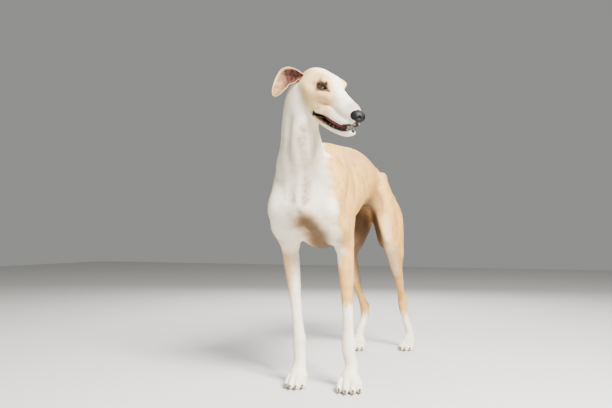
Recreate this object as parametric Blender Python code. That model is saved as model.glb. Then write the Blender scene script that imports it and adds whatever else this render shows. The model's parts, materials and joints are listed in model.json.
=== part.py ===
"""A life-size standing greyhound, still, in metres: x to the dog's left, y to its rear, z up from the floor.

Every part of the flesh is a few round sections along a smooth line. They melt into one another where they
meet, one skin is laid over all of them, and thin cuts then part the skin into the named pieces.
"""

import math

import bmesh
import bpy
import numpy as np
from mathutils import Matrix, Vector

# Driving sizes of the whole dog
WITHERS_HEIGHT = 0.698
BRISKET_HEIGHT = 0.388
CHEST_FRONT_Y = -0.113
CHEST_HALF_WIDTH = 0.084
TUCK_HEIGHT = 0.527
CROUP_HEIGHT = 0.692

# Where the head is held: the point between the eyes, and how far it is turned, lowered and tilted
EYES_CENTRE = Vector((0.117, -0.173, 0.793))
HEAD_TURN = math.radians(60.2)
HEAD_DROP = math.radians(27.3)
HEAD_TILT = math.radians(1.2)

# Joints of the legs: left and right are posed apart, as the dog stands
SHOULDER_POINT = {"left": (0.072, -0.070, 0.490), "right": (-0.075, -0.088, 0.492)}
FORE_ELBOW = {"left": (0.080, 0.030, 0.385), "right": (-0.087, 0.024, 0.383)}
FORE_WRIST = {"left": (0.093, 0.014, 0.127), "right": (-0.055, 0.014, 0.127)}
FORE_PAW = {"left": (0.102, 0.000, 0.0), "right": (-0.050, -0.004, 0.0)}
FORE_PAW_TURN = {"left": math.radians(16), "right": math.radians(8)}
HIND_STIFLE = {"left": (0.084, 0.488, 0.392), "right": (-0.082, 0.470, 0.385)}
HIND_HOCK = {"left": (0.074, 0.702, 0.186), "right": (-0.072, 0.694, 0.146)}
HIND_PAW = {"left": (0.097, 0.700, 0.0), "right": (-0.078, 0.632, 0.0)}
HIND_PAW_TURN = {"left": math.radians(-10), "right": math.radians(6)}
FORE_PAW_SIZE = {"left": (1.0, 1.15), "right": (1.0, 0.95)}
HIND_PAW_SIZE = (0.94, 0.92)
SIGN = {"left": 1.0, "right": -1.0}

# Sizes of the head, in its own frame: x to the nose, y to the left, z up, from the point between the eyes
EYE_SPACING = 0.0365
EYE_RADIUS = 0.0122
LID_THICK = 0.0019
LID_HALF_LENGTH = 0.0142
LID_UP = 0.0062
LID_DOWN = 0.0046
LID_SLANT = 0.10
EAR_THICK = 0.0032
EAR_DROP = math.radians(14)

# Ribs that show through the skin
RIBS = 6

# The space left between touching nodes
GAP = 0.0003

# How the shapes are read: a distance beyond any, and rows between two stations
FAR = 1.0
STEPS_PER_SPAN = 4


def head_axes():
    """The head's forward, left and up directions, as the columns of a matrix."""
    forward = np.array(
        [
            math.sin(HEAD_TURN) * math.cos(HEAD_DROP),
            -math.cos(HEAD_TURN) * math.cos(HEAD_DROP),
            -math.sin(HEAD_DROP),
        ]
    )
    level_left = np.array([math.cos(HEAD_TURN), math.sin(HEAD_TURN), 0.0])
    level_up = np.cross(forward, level_left)
    left = math.cos(HEAD_TILT) * level_left + math.sin(HEAD_TILT) * level_up
    return np.stack([forward, left, np.cross(forward, left)], axis=1)


HEAD_AXES = head_axes()


def on_head(point):
    """A point of the head's own frame, in the dog's frame."""
    return np.array(EYES_CENTRE) + HEAD_AXES @ np.array(point, float)


class Shape:
    """Round sections along a smooth line.

    Each station is x, y, z, half the width, and the reach above and below the line. The width lies along
    side, and above is side crossed with the line's own direction.
    """

    def __init__(
        self, stations, side=(1, 0, 0), side_end=None, blend=0.012, cuts=False, cap=None, steps=STEPS_PER_SPAN
    ):
        rows = [tuple(s) + (s[-1],) if len(s) == 5 else tuple(s) for s in stations]
        self.rows = smooth_rows(np.array(rows, float), steps)
        ends = np.array([side, side if side_end is None else side_end], float)
        share = np.linspace(0, 1, len(self.rows))[:, None]
        self.sides = ends[0] * (1 - share) + ends[1] * share
        self.blend = blend
        self.cuts = cuts
        self.cap = cap
        reach = max(self.rows[:, 3:].max(), cap or 0) + blend
        self.low = self.rows[:, :3].min(axis=0) - reach - 0.02
        self.high = self.rows[:, :3].max(axis=0) + reach + 0.02

    def distance(self, points):
        """About how far each point is from the surface, and below zero inside."""
        found = np.full(len(points), FAR)
        near = ((points > self.low) & (points < self.high)).all(axis=1)
        if not near.any():
            return found
        found[near] = self.distance_near(points[near])
        return found

    def distance_near(self, points):
        best = np.full(len(points), FAR)
        for i in range(len(self.rows) - 1):
            start, end = self.rows[i], self.rows[i + 1]
            run = end[:3] - start[:3]
            length = np.linalg.norm(run)
            along = run / length
            offset = points - start[:3]
            travel = offset @ along
            share = np.clip(travel / length, 0, 1)
            sizes = start[3:] + share[:, None] * (end[3:] - start[3:])
            side = self.sides[i] + share[:, None] * (self.sides[i + 1] - self.sides[i])
            side = side - (side @ along)[:, None] * along
            side = side / np.linalg.norm(side, axis=1, keepdims=True)
            across = (offset * side).sum(axis=1)
            rise = (offset * np.cross(side, along)).sum(axis=1)
            over = travel - share * length
            half = np.where(rise > 0, sizes[:, 1], sizes[:, 2])
            cap = np.minimum(sizes[:, 0], half) if self.cap is None else np.full(len(points), self.cap)
            units = np.stack([across / sizes[:, 0], rise / half, over / cap])
            scaled = np.stack([units[0] / sizes[:, 0], units[1] / half, units[2] / cap])
            first = np.sqrt((units**2).sum(axis=0))
            second = np.sqrt((scaled**2).sum(axis=0))
            value = first * (first - 1) / np.maximum(second, 1e-6)
            best = np.minimum(best, np.where(second < 1e-6, -cap, value))
        return best


def smooth_rows(rows, steps):
    """Rows read from a smooth curve through the given ones."""
    padded = np.vstack([2 * rows[0] - rows[1], rows, 2 * rows[-1] - rows[-2]])
    t = np.linspace(0, 1, steps, endpoint=False)[:, None]
    spans = []
    for p0, p1, p2, p3 in zip(padded, padded[1:], padded[2:], padded[3:]):
        bend = 2 * p0 - 5 * p1 + 4 * p2 - p3
        spans.append(0.5 * (2 * p1 + (p2 - p0) * t + bend * t**2 + (3 * p1 - 3 * p2 + p3 - p0) * t**3))
    return np.vstack(spans + [rows[-1:]])


def ball(centre, radii, side=(1, 0, 0), along=(0, 1, 0), blend=0.012, cuts=False):
    """An egg of half width, half length and half height, as a line so short that only its caps show."""
    across, length, height = radii
    step = 0.0003 * np.array(along, float) / np.linalg.norm(along)
    ends = [(*(np.array(centre, float) + sign * step), across, height) for sign in (-1, 1)]
    return Shape(ends, side, blend=blend, cuts=cuts, cap=length, steps=1)


def melt(first, second, blend):
    """The two distances joined, with the crease between them filled."""
    share = np.clip(0.5 + 0.5 * (second - first) / blend, 0, 1)
    return second * (1 - share) + first * share - blend * share * (1 - share)


class Groove:
    """A hollow along a line on the skin, or a ridge where the depth is below zero."""

    def __init__(self, points, width, depth, steps=3):
        rows = np.array(points, float)
        self.line = smooth_rows(rows, steps)
        self.width = width
        self.depth = depth

    def deepen(self, points):
        """How much the skin sinks at each point."""
        sunk = np.zeros(len(points))
        reach = 2.6 * self.width
        low, high = self.line.min(axis=0) - reach, self.line.max(axis=0) + reach
        near = ((points > low) & (points < high)).all(axis=1)
        if near.any():
            apart = distance_to_line(points[near], self.line)
            sunk[near] = self.depth * np.exp(-((apart / self.width) ** 2))
        return sunk


def distance_to_line(points, line):
    best = np.full(len(points), FAR)
    for start, end in zip(line, line[1:]):
        run = end - start
        share = np.clip((points - start) @ run / (run @ run), 0, 1)
        best = np.minimum(best, np.linalg.norm(points - start - share[:, None] * run, axis=1))
    return best


def field(shapes, points):
    """The distance to the whole body: shapes are added, cut or pressed in, in their order."""
    total = np.full(len(points), FAR)
    for shape in shapes:
        if isinstance(shape, Groove):
            total = total + shape.deepen(points)
            continue
        value = shape.distance(points)
        if shape.cuts:
            total = -melt(-total, value, shape.blend)
        else:
            total = melt(total, value, shape.blend)
    return total


def trunk():
    """The chest, loin and croup, from the breastbone's tip to the seat, and the muscles along the spine."""
    top, keel = WITHERS_HEIGHT, BRISKET_HEIGHT
    wide = CHEST_HALF_WIDTH
    return [
        Shape(
            [
                (0, CHEST_FRONT_Y + 0.024, 0.498, 0.038, 0.052, 0.040),
                (0, -0.050, 0.520, 0.070, 0.100, 0.090),
                (0, 0.005, 0.535, wide * 0.95, top - 0.575, 0.535 - keel - 0.002),
                (0, 0.070, 0.545, wide * 1.03, top - 0.566, 0.545 - keel - 0.006),
                (0, 0.160, 0.560, wide * 1.09, top - 0.577, 0.102),
                (0, 0.250, 0.578, wide * 0.98, 0.104, 0.073),
                (0, 0.330, 0.597, wide * 0.86, 0.089, 0.071),
                (0, 0.410, 0.602, wide * 0.72, 0.072, 0.602 - TUCK_HEIGHT),
                (0, 0.490, 0.598, wide * 0.66, CROUP_HEIGHT - 0.634, 0.074),
                (0, 0.570, 0.588, wide * 0.64, CROUP_HEIGHT - 0.636, 0.072),
                (0, 0.640, 0.570, wide * 0.56, 0.050, 0.060),
                (0, 0.686, 0.558, wide * 0.42, 0.040, 0.042),
            ],
            blend=0.02,
            steps=4,
        ),
        # The keel of the chest, narrow behind the elbows, where it rises to the tucked-up belly
        Shape(
            [
                (0, 0.020, 0.470, 0.052, 0.050, 0.470 - keel - 0.008),
                (0, 0.090, 0.465, 0.045, 0.050, 0.465 - keel - 0.005),
                (0, 0.160, 0.475, 0.032, 0.050, 0.068),
                (0, 0.230, 0.495, 0.021, 0.045, 0.056),
                (0, 0.300, 0.522, 0.014, 0.035, 0.040),
                (0, 0.350, 0.545, 0.012, 0.025, 0.028),
            ],
            blend=0.022,
        ),
        Shape(
            [
                (0, 0.000, 0.640, 0.030, 0.040, 0.05),
                (0, 0.070, 0.660, 0.034, top - 0.661, 0.05),
                (0, 0.180, 0.668, 0.040, 0.035, 0.04),
                (0, 0.300, 0.676, 0.036, 0.034, 0.04),
                (0, 0.410, 0.672, 0.031, 0.032, 0.04),
                (0, 0.500, 0.656, 0.029, CROUP_HEIGHT - 0.664, 0.04),
                (0, 0.580, 0.638, 0.028, 0.032, 0.04),
                (0, 0.650, 0.616, 0.024, 0.028, 0.03),
            ],
            blend=0.024,
        ),
    ]


def shoulder(side):
    """Blade, upper arm, and the muscles that wrap them."""
    s = SIGN[side]
    point, elbow = np.array(SHOULDER_POINT[side]), np.array(FORE_ELBOW[side])
    upper_arm = 0.5 * (point + elbow) + (0.003 * s, 0, 0.012)
    return [
        Shape(
            [
                (0.036 * s, 0.062, 0.662, 0.017, 0.040, 0.026),
                (0.062 * s, 0.016, 0.600, 0.026, 0.046, 0.044),
                (*(point + (0.001 * s, 0.030, 0.040)), 0.027, 0.044, 0.040),
                (*(point + (-0.002 * s, 0, -0.002)), 0.026, 0.032, 0.030),
            ],
            blend=0.026,
        ),
        Shape(
            [
                (*(point + (-0.005 * s, 0.008, 0.010)), 0.029, 0.040, 0.032),
                (*upper_arm, 0.032, 0.044, 0.036),
                (*(elbow + (-0.004 * s, -0.010, 0.014)), 0.026, 0.032, 0.032),
            ],
            blend=0.022,
        ),
        Shape(
            [
                (0.058 * s, 0.070, 0.580, 0.022, 0.044, 0.044),
                (*(elbow + (-0.006 * s, 0.018, 0.115)), 0.028, 0.042, 0.046),
                (*(elbow + (-0.002 * s, 0.012, 0.030)), 0.021, 0.024, 0.028),
            ],
            blend=0.022,
        ),
        Shape(
            [
                (0.010 * s, -0.092, 0.490, 0.020, 0.024, 0.022),
                (0.036 * s, -0.064, 0.456, 0.030, 0.034, 0.030),
                (0.056 * s, -0.020, 0.424, 0.024, 0.032, 0.030),
            ],
            blend=0.02,
        ),
        # The muscle from the neck's side down over the point of the shoulder to the upper arm
        Shape(
            [
                (0.052 * s, -0.030, 0.615, 0.026, 0.040, 0.036),
                (0.062 * s, -0.052, 0.560, 0.028, 0.036, 0.034),
                (*(point + (-0.015 * s, 0.013, 0.012)), 0.025, 0.032, 0.030),
                (*(upper_arm + (-0.005 * s, -0.012, 0.004)), 0.027, 0.030, 0.030),
            ],
            blend=0.030,
        ),
        # The breast muscle, from the breastbone across to the point of the shoulder
        Shape(
            [
                (0.006 * s, -0.080, 0.516, 0.032, 0.028, 0.026),
                (*(point * (0.5, 1, 1) + (0, 0.006, 0.012)), 0.044, 0.036, 0.030),
                (*(point + (-0.014 * s, 0.014, 0.002)), 0.034, 0.028, 0.026),
            ],
            side=(0, 0, 1),
            blend=0.032,
        ),
    ]


def foreleg(side):
    """Forearm, wrist and pastern, down to the paw."""
    elbow, wrist, paw = (np.array(p[side]) for p in (FORE_ELBOW, FORE_WRIST, FORE_PAW))
    inward = -SIGN[side]

    def between(share):
        return elbow + (wrist - elbow) * share

    return [
        Shape(
            [
                (*(elbow + (0, -0.004, 0.006)), 0.024, 0.030, 0.030),
                (*(between(0.16) + (0, -0.002, 0)), 0.0235, 0.027, 0.028),
                (*between(0.40), 0.0195, 0.021, 0.022),
                (*between(0.66), 0.0158, 0.0165, 0.0165),
                (*between(0.88), 0.0162, 0.0160, 0.0160),
                (*wrist, 0.0195, 0.0185, 0.0185),
                (*(wrist + (0, -0.001, -0.022)), 0.0185, 0.0165, 0.0170),
                (*(paw + (0, 0.010, 0.068)), 0.0180, 0.0150, 0.0150),
                (*(paw + (0, -0.002, 0.040)), 0.0215, 0.0170, 0.0160),
            ],
            blend=0.010,
        ),
        # The point of the elbow, and the stopper pad behind the wrist
        ball(elbow + (0, 0.030, 0.008), (0.0115, 0.015, 0.020), blend=0.012),
        ball(wrist + (0.004 * inward, 0.018, -0.018), (0.007, 0.008, 0.009), blend=0.008),
    ]


def paw_frame(place, turn):
    """The paw's forward and left directions, level with the floor."""
    forward = np.array([-math.sin(-turn), -math.cos(turn), 0.0])
    left = np.array([math.cos(turn), math.sin(turn), 0.0])
    return np.array(place, float), forward, left


TOE_SPREAD = (-0.0215, -0.0078, 0.0078, 0.0215)
TOE_REACH = (0.030, 0.044, 0.044, 0.030)


def paw(place, turn, size=1.0, spread=1.0):
    """Four arched toes with their pads, and the heel pad, in front of the pastern."""
    base, forward, left = paw_frame(place, turn)
    up = np.array([0, 0, 1.0])

    def at(ahead, aside, height):
        return base + size * (forward * ahead + left * aside * spread + up * height)

    shapes = [
        ball(at(-0.010, 0, 0.0115), (0.019 * size, 0.018 * size, 0.014 * size), left, forward, 0.008),
        ball(at(0.004, 0, 0.034), (0.024 * size, 0.024 * size, 0.017 * size), left, forward, 0.010),
    ]
    for aside, reach in zip(TOE_SPREAD, TOE_REACH):
        stations = [
            (*at(reach + 0.010, aside * 1.12, 0.0105), 0.0070, 0.0068, 0.0085),
            (*at(reach + 0.001, aside * 1.10, 0.0175), 0.0083, 0.0095, 0.0110),
            (*at(reach - 0.014, aside * 1.00, 0.0270), 0.0092, 0.0102, 0.0110),
            (*at(reach - 0.032, aside * 0.80, 0.0300), 0.0095, 0.0105, 0.0100),
        ]
        shapes.append(Shape([(*s[:3], *(size * r for r in s[3:])) for s in stations], left, blend=0.0045))
        pad = (0.0080 * size, 0.0110 * size, 0.0085 * size)
        shapes.append(ball(at(reach - 0.002, aside * 1.10, 0.0065), pad, left, forward, 0.004))
    return shapes


def claw_stations(place, turn, size=1.0, spread=1.0):
    """For each toe, where its claw starts and ends."""
    base, forward, left = paw_frame(place, turn)
    up = np.array([0, 0, 1.0])
    claws = []
    for aside, reach in zip(TOE_SPREAD, TOE_REACH):
        points = []
        across = left * aside * 1.13 * spread
        for ahead, height in ((0.010, 0.0125), (0.0185, 0.0115), (0.0255, 0.0055)):
            points.append(base + size * (forward * (reach + ahead) + across + up * height))
        claws.append(points)
    return claws


def hindleg(side):
    """Thigh, second thigh, hock and hind pastern."""
    s = SIGN[side]
    stifle, hock, paw_place = (np.array(p[side]) for p in (HIND_STIFLE, HIND_HOCK, HIND_PAW))

    def shank(share, back=0.0):
        return stifle + (hock - stifle) * share + (0, back, 0)

    return [
        # The front of the thigh, from the hip bone down to the stifle
        Shape(
            [
                (0.046 * s, 0.520, 0.620, 0.018, 0.034, 0.024),
                (0.060 * s, 0.514, 0.565, 0.026, 0.050, 0.040),
                (0.072 * s, 0.502, 0.490, 0.030, 0.054, 0.044),
                (*(stifle + (0, 0.006, 0.004)), 0.0255, 0.038, 0.030),
            ],
            blend=0.022,
        ),
        # The fold of skin from the flank to the front of the stifle
        Shape(
            [
                (0.040 * s, 0.320, 0.562, 0.016, 0.030, 0.036),
                (0.047 * s, 0.380, 0.552, 0.016, 0.032, 0.034),
                (0.056 * s, 0.432, 0.520, 0.015, 0.034, 0.032),
                (0.066 * s, 0.456, 0.470, 0.015, 0.036, 0.034),
                (0.077 * s, 0.480, 0.420, 0.016, 0.030, 0.030),
            ],
            blend=0.020,
        ),
        # The hollow of the flank, between the loin, the fold and the thigh
        Shape(
            [
                (0.040 * s, 0.395, 0.570, 0.014, 0.022, 0.028),
                (0.047 * s, 0.455, 0.560, 0.016, 0.026, 0.036),
                (0.052 * s, 0.505, 0.554, 0.016, 0.024, 0.030),
            ],
            blend=0.020,
        ),
        # The back of the thigh, from the seat bone down behind the stifle
        Shape(
            [
                (0.038 * s, 0.640, 0.556, 0.024, 0.040, 0.044),
                (0.060 * s, 0.618, 0.502, 0.033, 0.052, 0.062),
                (0.076 * s, 0.585, 0.432, 0.031, 0.046, 0.062),
                (0.086 * s, 0.556, 0.362, 0.027, 0.043, 0.044),
            ],
            blend=0.026,
        ),
        # The inside of the thigh, up into the groin
        Shape(
            [
                (0.018 * s, 0.575, 0.545, 0.024, 0.070, 0.070),
                (0.035 * s, 0.558, 0.480, 0.031, 0.062, 0.062),
                (0.058 * s, 0.532, 0.408, 0.030, 0.050, 0.050),
            ],
            blend=0.026,
        ),
        # The second thigh
        Shape(
            [
                (*(stifle + (0, 0.020, 0.000)), 0.0265, 0.036, 0.036),
                (*shank(0.25, 0.018), 0.0265, 0.031, 0.032),
                (*shank(0.48, 0.008), 0.0195, 0.022, 0.0225),
                (*shank(0.76, -0.002), 0.0135, 0.0150, 0.0155),
                (*shank(0.95, -0.006), 0.0150, 0.0160, 0.0165),
            ],
            blend=0.016,
        ),
        # The tendon that stands clear of the shank, down to the point of the hock
        Shape(
            [
                (*shank(0.42, 0.027), 0.0120, 0.012, 0.014),
                (*shank(0.70, 0.019), 0.0065, 0.0065, 0.0085),
                (*(hock + (0, 0.020, 0.012)), 0.0065, 0.0070, 0.0080),
            ],
            blend=0.010,
        ),
        # Hock and hind pastern
        Shape(
            [
                (*(hock + (0, -0.010, 0.006)), 0.0165, 0.018, 0.0175),
                (*(hock + (0, -0.006, -0.024)), 0.0165, 0.0165, 0.0165),
                (*(hock * 0.52 + paw_place * 0.48 + (0, 0.000, 0.012)), 0.0135, 0.0140, 0.0145),
                (*(paw_place + (0, 0.010, 0.062)), 0.0150, 0.0145, 0.0145),
                (*(paw_place + (0, -0.002, 0.038)), 0.0190, 0.0160, 0.0155),
            ],
            blend=0.008,
        ),
        ball(hock + (0, 0.019, 0.004), (0.0095, 0.0095, 0.0130), blend=0.008),
        # The hip bone and the seat bone, just under the skin
        ball((0.050 * s, 0.520, 0.634), (0.010, 0.022, 0.012), blend=0.018),
        ball((0.041 * s, 0.680, 0.560), (0.012, 0.014, 0.014), blend=0.018),
    ]


def tail():
    """Long and fine, hanging close behind the left leg."""
    return [
        Shape(
            [
                (0.000, 0.660, 0.616, 0.0220, 0.0220),
                (0.000, 0.712, 0.596, 0.0170, 0.0170),
                (0.008, 0.746, 0.540, 0.0135, 0.0140),
                (0.024, 0.752, 0.460, 0.0110, 0.0115),
                (0.040, 0.756, 0.370, 0.0088, 0.0090),
                (0.050, 0.768, 0.290, 0.0068, 0.0070),
                (0.052, 0.788, 0.232, 0.0045, 0.0048),
            ],
            blend=0.014,
        )
    ]


HEAD_LEFT = HEAD_AXES[:, 1]


def neck():
    """From the skull down to the chest; it turns with the head and bows to the right."""
    return [
        Shape(
            [
                (0.052, -0.142, 0.812, 0.038, 0.046, 0.046),
                (0.015, -0.124, 0.776, 0.044, 0.066, 0.062),
                (-0.006, -0.098, 0.722, 0.049, 0.070, 0.086),
                (-0.014, -0.068, 0.660, 0.060, 0.078, 0.092),
                (-0.022, -0.044, 0.600, 0.075, 0.086, 0.080),
                (-0.008, -0.014, 0.545, 0.088, 0.096, 0.098),
            ],
            side=HEAD_LEFT,
            side_end=(1, 0, 0),
            blend=0.026,
            steps=10,
        )
    ]


def head_shape(stations, side=(0, 1, 0), **settings):
    """A shape given in the head's frame, from front to back."""
    rows = [(*on_head(s[:3]), *s[3:]) for s in stations]
    return Shape(rows, HEAD_AXES @ np.array(side, float), **settings)


def head_ball(centre, radii, along=(-1, 0, 0), **settings):
    return ball(on_head(centre), radii, HEAD_LEFT, HEAD_AXES @ np.array(along, float), **settings)


def skull():
    """Crown, brow, muzzle and cheeks."""
    shapes = [
        head_ball((-0.060, 0, 0.000), (0.040, 0.053, 0.0365), blend=0.016),
        head_ball((-0.016, 0, 0.008), (0.034, 0.036, 0.026), blend=0.014),
        head_shape(
            [
                (0.120, 0, -0.034, 0.0150, 0.0135, 0.0140),
                (0.103, 0, -0.034, 0.0190, 0.0270, 0.0220),
                (0.080, 0, -0.033, 0.0220, 0.0305, 0.0260),
                (0.050, 0, -0.028, 0.0245, 0.0325, 0.0300),
                (0.018, 0, -0.020, 0.0285, 0.0345, 0.0360),
                (-0.014, 0, -0.016, 0.0330, 0.0380, 0.0380),
            ],
            blend=0.014,
        ),
    ]
    for s in SIGN.values():
        shapes += [
            # The cheekbone
            head_shape(
                [
                    (0.022, 0.024 * s, -0.018, 0.008, 0.009, 0.010),
                    (-0.012, 0.034 * s, -0.021, 0.009, 0.011, 0.014),
                    (-0.046, 0.040 * s, -0.022, 0.009, 0.012, 0.016),
                    (-0.074, 0.036 * s, -0.016, 0.009, 0.012, 0.014),
                ],
                blend=0.014,
            ),
            # The cheek muscle and the brow
            head_ball((-0.034, 0.029 * s, -0.046), (0.015, 0.027, 0.023), blend=0.018),
            head_ball((-0.004, 0.0285 * s, 0.0165), (0.0095, 0.016, 0.0085), blend=0.012),
        ]
    return shapes


def lips_and_jaw():
    """The open mouth: upper lips, then the lower jaw with its own lips."""
    shapes = []
    for s in SIGN.values():
        shapes.append(
            head_shape(
                [
                    (0.119, 0.0095 * s, -0.0515, 0.0050, 0.0080, 0.0058),
                    (0.098, 0.0168 * s, -0.0590, 0.0050, 0.0105, 0.0066),
                    (0.068, 0.0205 * s, -0.0600, 0.0050, 0.0150, 0.0056),
                    (0.038, 0.0252 * s, -0.0575, 0.0056, 0.0200, 0.0050),
                    (0.012, 0.0295 * s, -0.0600, 0.0062, 0.0240, 0.0050),
                    (-0.006, 0.0315 * s, -0.0640, 0.0066, 0.0260, 0.0050),
                ],
                blend=0.007,
            )
        )
    shapes.append(
        head_shape(
            [
                (0.1165, 0, -0.0755, 0.0115, 0.0055, 0.0075),
                (0.096, 0, -0.0830, 0.0155, 0.0060, 0.0090),
                (0.062, 0, -0.0860, 0.0195, 0.0065, 0.0100),
                (0.030, 0, -0.0830, 0.0255, 0.0080, 0.0125),
                (0.002, 0, -0.0770, 0.0310, 0.0140, 0.0160),
                (-0.034, 0, -0.0590, 0.0360, 0.0260, 0.0270),
            ],
            blend=0.006,
        )
    )
    for s in SIGN.values():
        shapes.append(
            head_shape(
                [
                    (0.1185, 0.0060 * s, -0.0722, 0.0035, 0.0040, 0.0045),
                    (0.096, 0.0133 * s, -0.0777, 0.0032, 0.0045, 0.0052),
                    (0.062, 0.0182 * s, -0.0820, 0.0032, 0.0045, 0.0060),
                    (0.034, 0.0242 * s, -0.0790, 0.0036, 0.0045, 0.0060),
                    (0.012, 0.0295 * s, -0.0750, 0.0045, 0.0050, 0.0060),
                    (-0.006, 0.0320 * s, -0.0720, 0.0045, 0.0050, 0.0060),
                ],
                blend=0.005,
            )
        )
    # The hollows of the palate and of the jaw's floor
    shapes += [
        head_shape(
            [
                (0.110, 0, -0.0570, 0.0080, 0.0080, 0.0100),
                (0.080, 0, -0.0600, 0.0135, 0.0130, 0.0100),
                (0.045, 0, -0.0610, 0.0165, 0.0110, 0.0110),
                (0.012, 0, -0.0650, 0.0175, 0.0060, 0.0080),
            ],
            blend=0.003,
            cuts=True,
        ),
        head_shape(
            [
                (0.108, 0, -0.0705, 0.0065, 0.0060, 0.0055),
                (0.080, 0, -0.0780, 0.0125, 0.0060, 0.0065),
                (0.045, 0, -0.0775, 0.0170, 0.0060, 0.0075),
                (0.014, 0, -0.0720, 0.0185, 0.0050, 0.0070),
            ],
            blend=0.003,
            cuts=True,
        ),
    ]
    return shapes


def lids():
    """The swell of the eyelids over each eyeball."""
    return [ball(eye_centre(side), (EYE_RADIUS + LID_THICK,) * 3, blend=0.0035) for side in SIGN]


def grooves():
    """Hollows and ridges that the muscles and bones draw on the skin."""
    right_furrow = [
        (-0.014, -0.112, 0.515),
        (-0.014, -0.125, 0.560),
        (-0.014, -0.128, 0.610),
        (-0.014, -0.140, 0.670),
        (-0.010, -0.158, 0.730),
    ]
    left_furrow = [
        (0.012, -0.112, 0.515),
        (0.022, -0.112, 0.555),
        (0.032, -0.106, 0.600),
        (0.046, -0.108, 0.650),
        (0.062, -0.130, 0.700),
    ]
    forehead = [on_head(p) for p in ((0.012, 0, 0.031), (-0.020, 0, 0.036), (-0.055, 0, 0.038))]
    found = [
        # The furrows beside the windpipe, which meet over the breastbone
        Groove(right_furrow, 0.013, 0.0065),
        Groove(left_furrow, 0.013, 0.0065),
        # Between the two breast muscles
        Groove([(0, -0.113, 0.482), (0, -0.10, 0.45), (0, -0.07, 0.41)], 0.010, 0.005),
        # The forehead's middle line
        Groove(forehead, 0.006, 0.0014),
    ]
    for side, s in SIGN.items():
        found += body_grooves(side, s) + face_grooves(s)
    return found


def body_grooves(side, s):
    stifle, hock = np.array(HIND_STIFLE[side]), np.array(HIND_HOCK[side])
    point = np.array(SHOULDER_POINT[side])
    blade_front = [(0.055 * s, -0.050, 0.61), (0.060 * s, -0.085, 0.56), (0.050 * s, -0.100, 0.53)]
    blade_ridge = [(0.050 * s, 0.045, 0.66), (0.080 * s, 0.005, 0.60), point + (0.020 * s, 0.03, 0.05)]
    behind_arm = [(0.085 * s, 0.105, 0.60), (0.095 * s, 0.100, 0.53), (0.085 * s, 0.085, 0.44)]
    upper_arm = [(0.085 * s, 0.02, 0.56), (0.105 * s, -0.01, 0.50), (0.105 * s, 0.005, 0.44)]
    thigh = [(0.085 * s, 0.555, 0.58), (0.105 * s, 0.545, 0.50), (0.105 * s, 0.535, 0.42)]
    found = [
        Groove(blade_front, 0.016, 0.002),
        Groove(blade_ridge, 0.010, -0.0022),
        Groove(behind_arm, 0.018, 0.004),
        Groove(upper_arm, 0.012, 0.0025),
        # The hollow of the flank, before the hip bone
        Groove([(0.055 * s, 0.425, 0.63), (0.062 * s, 0.445, 0.60)], 0.028, 0.006),
        Groove([(0.060 * s, 0.470, 0.612), (0.064 * s, 0.474, 0.60)], 0.010, 0.003),
        # Between the muscles of the thigh
        Groove(thigh, 0.014, 0.0035),
    ]
    # Either side of the heel's tendon
    for aside in (-1, 1):
        above = stifle * 0.45 + hock * 0.55 + (0.016 * aside, 0.014, 0)
        found.append(Groove([hock + (0.012 * aside, 0.006, 0.020), above], 0.007, 0.003))
    for i in range(RIBS):
        back = 0.145 + 0.031 * i
        rib = [
            (0.075 * s, back + 0.020, 0.635),
            (0.095 * s, back + 0.012, 0.560),
            (0.085 * s, back - 0.012, 0.480),
        ]
        found.append(Groove(rib, 0.0075, -0.0016))
    return found


def face_grooves(s):
    """The temple, the hollow before the cheek, and the fold behind the corner of the mouth."""
    temple = [on_head((-0.022, 0.032 * s, 0.020)), on_head((-0.050, 0.038 * s, 0.014))]
    cheek = [on_head((0.050, 0.024 * s, -0.020)), on_head((0.022, 0.030 * s, -0.036))]
    corner = [on_head((0.006, 0.036 * s, -0.052)), on_head((-0.006, 0.040 * s, -0.064))]
    return [Groove(temple, 0.010, 0.0022), Groove(cheek, 0.012, 0.0022), Groove(corner, 0.006, 0.0016)]


def eye_centre(side):
    """The middle of the eyeball; the eye looks half forward, half outward."""
    return on_head((-EYE_RADIUS * 0.72, (EYE_SPACING - EYE_RADIUS * 0.70) * SIGN[side], 0.001))


def body_shapes():
    """Every shape of the flesh, in the order that they are joined and cut."""
    shapes = trunk() + neck()
    for side in SIGN:
        shapes += shoulder(side) + foreleg(side) + hindleg(side)
    shapes += tail() + skull() + lips_and_jaw() + lids()
    for side in SIGN:
        shapes += paw(FORE_PAW[side], FORE_PAW_TURN[side], *FORE_PAW_SIZE[side])
        shapes += paw(HIND_PAW[side], HIND_PAW_TURN[side], *HIND_PAW_SIZE)
    hollows = grooves()
    for groove in hollows:
        groove.line = settle(groove.line, shapes, rounds=8)
    return shapes + hollows


RING_SIDES = 12


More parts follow.
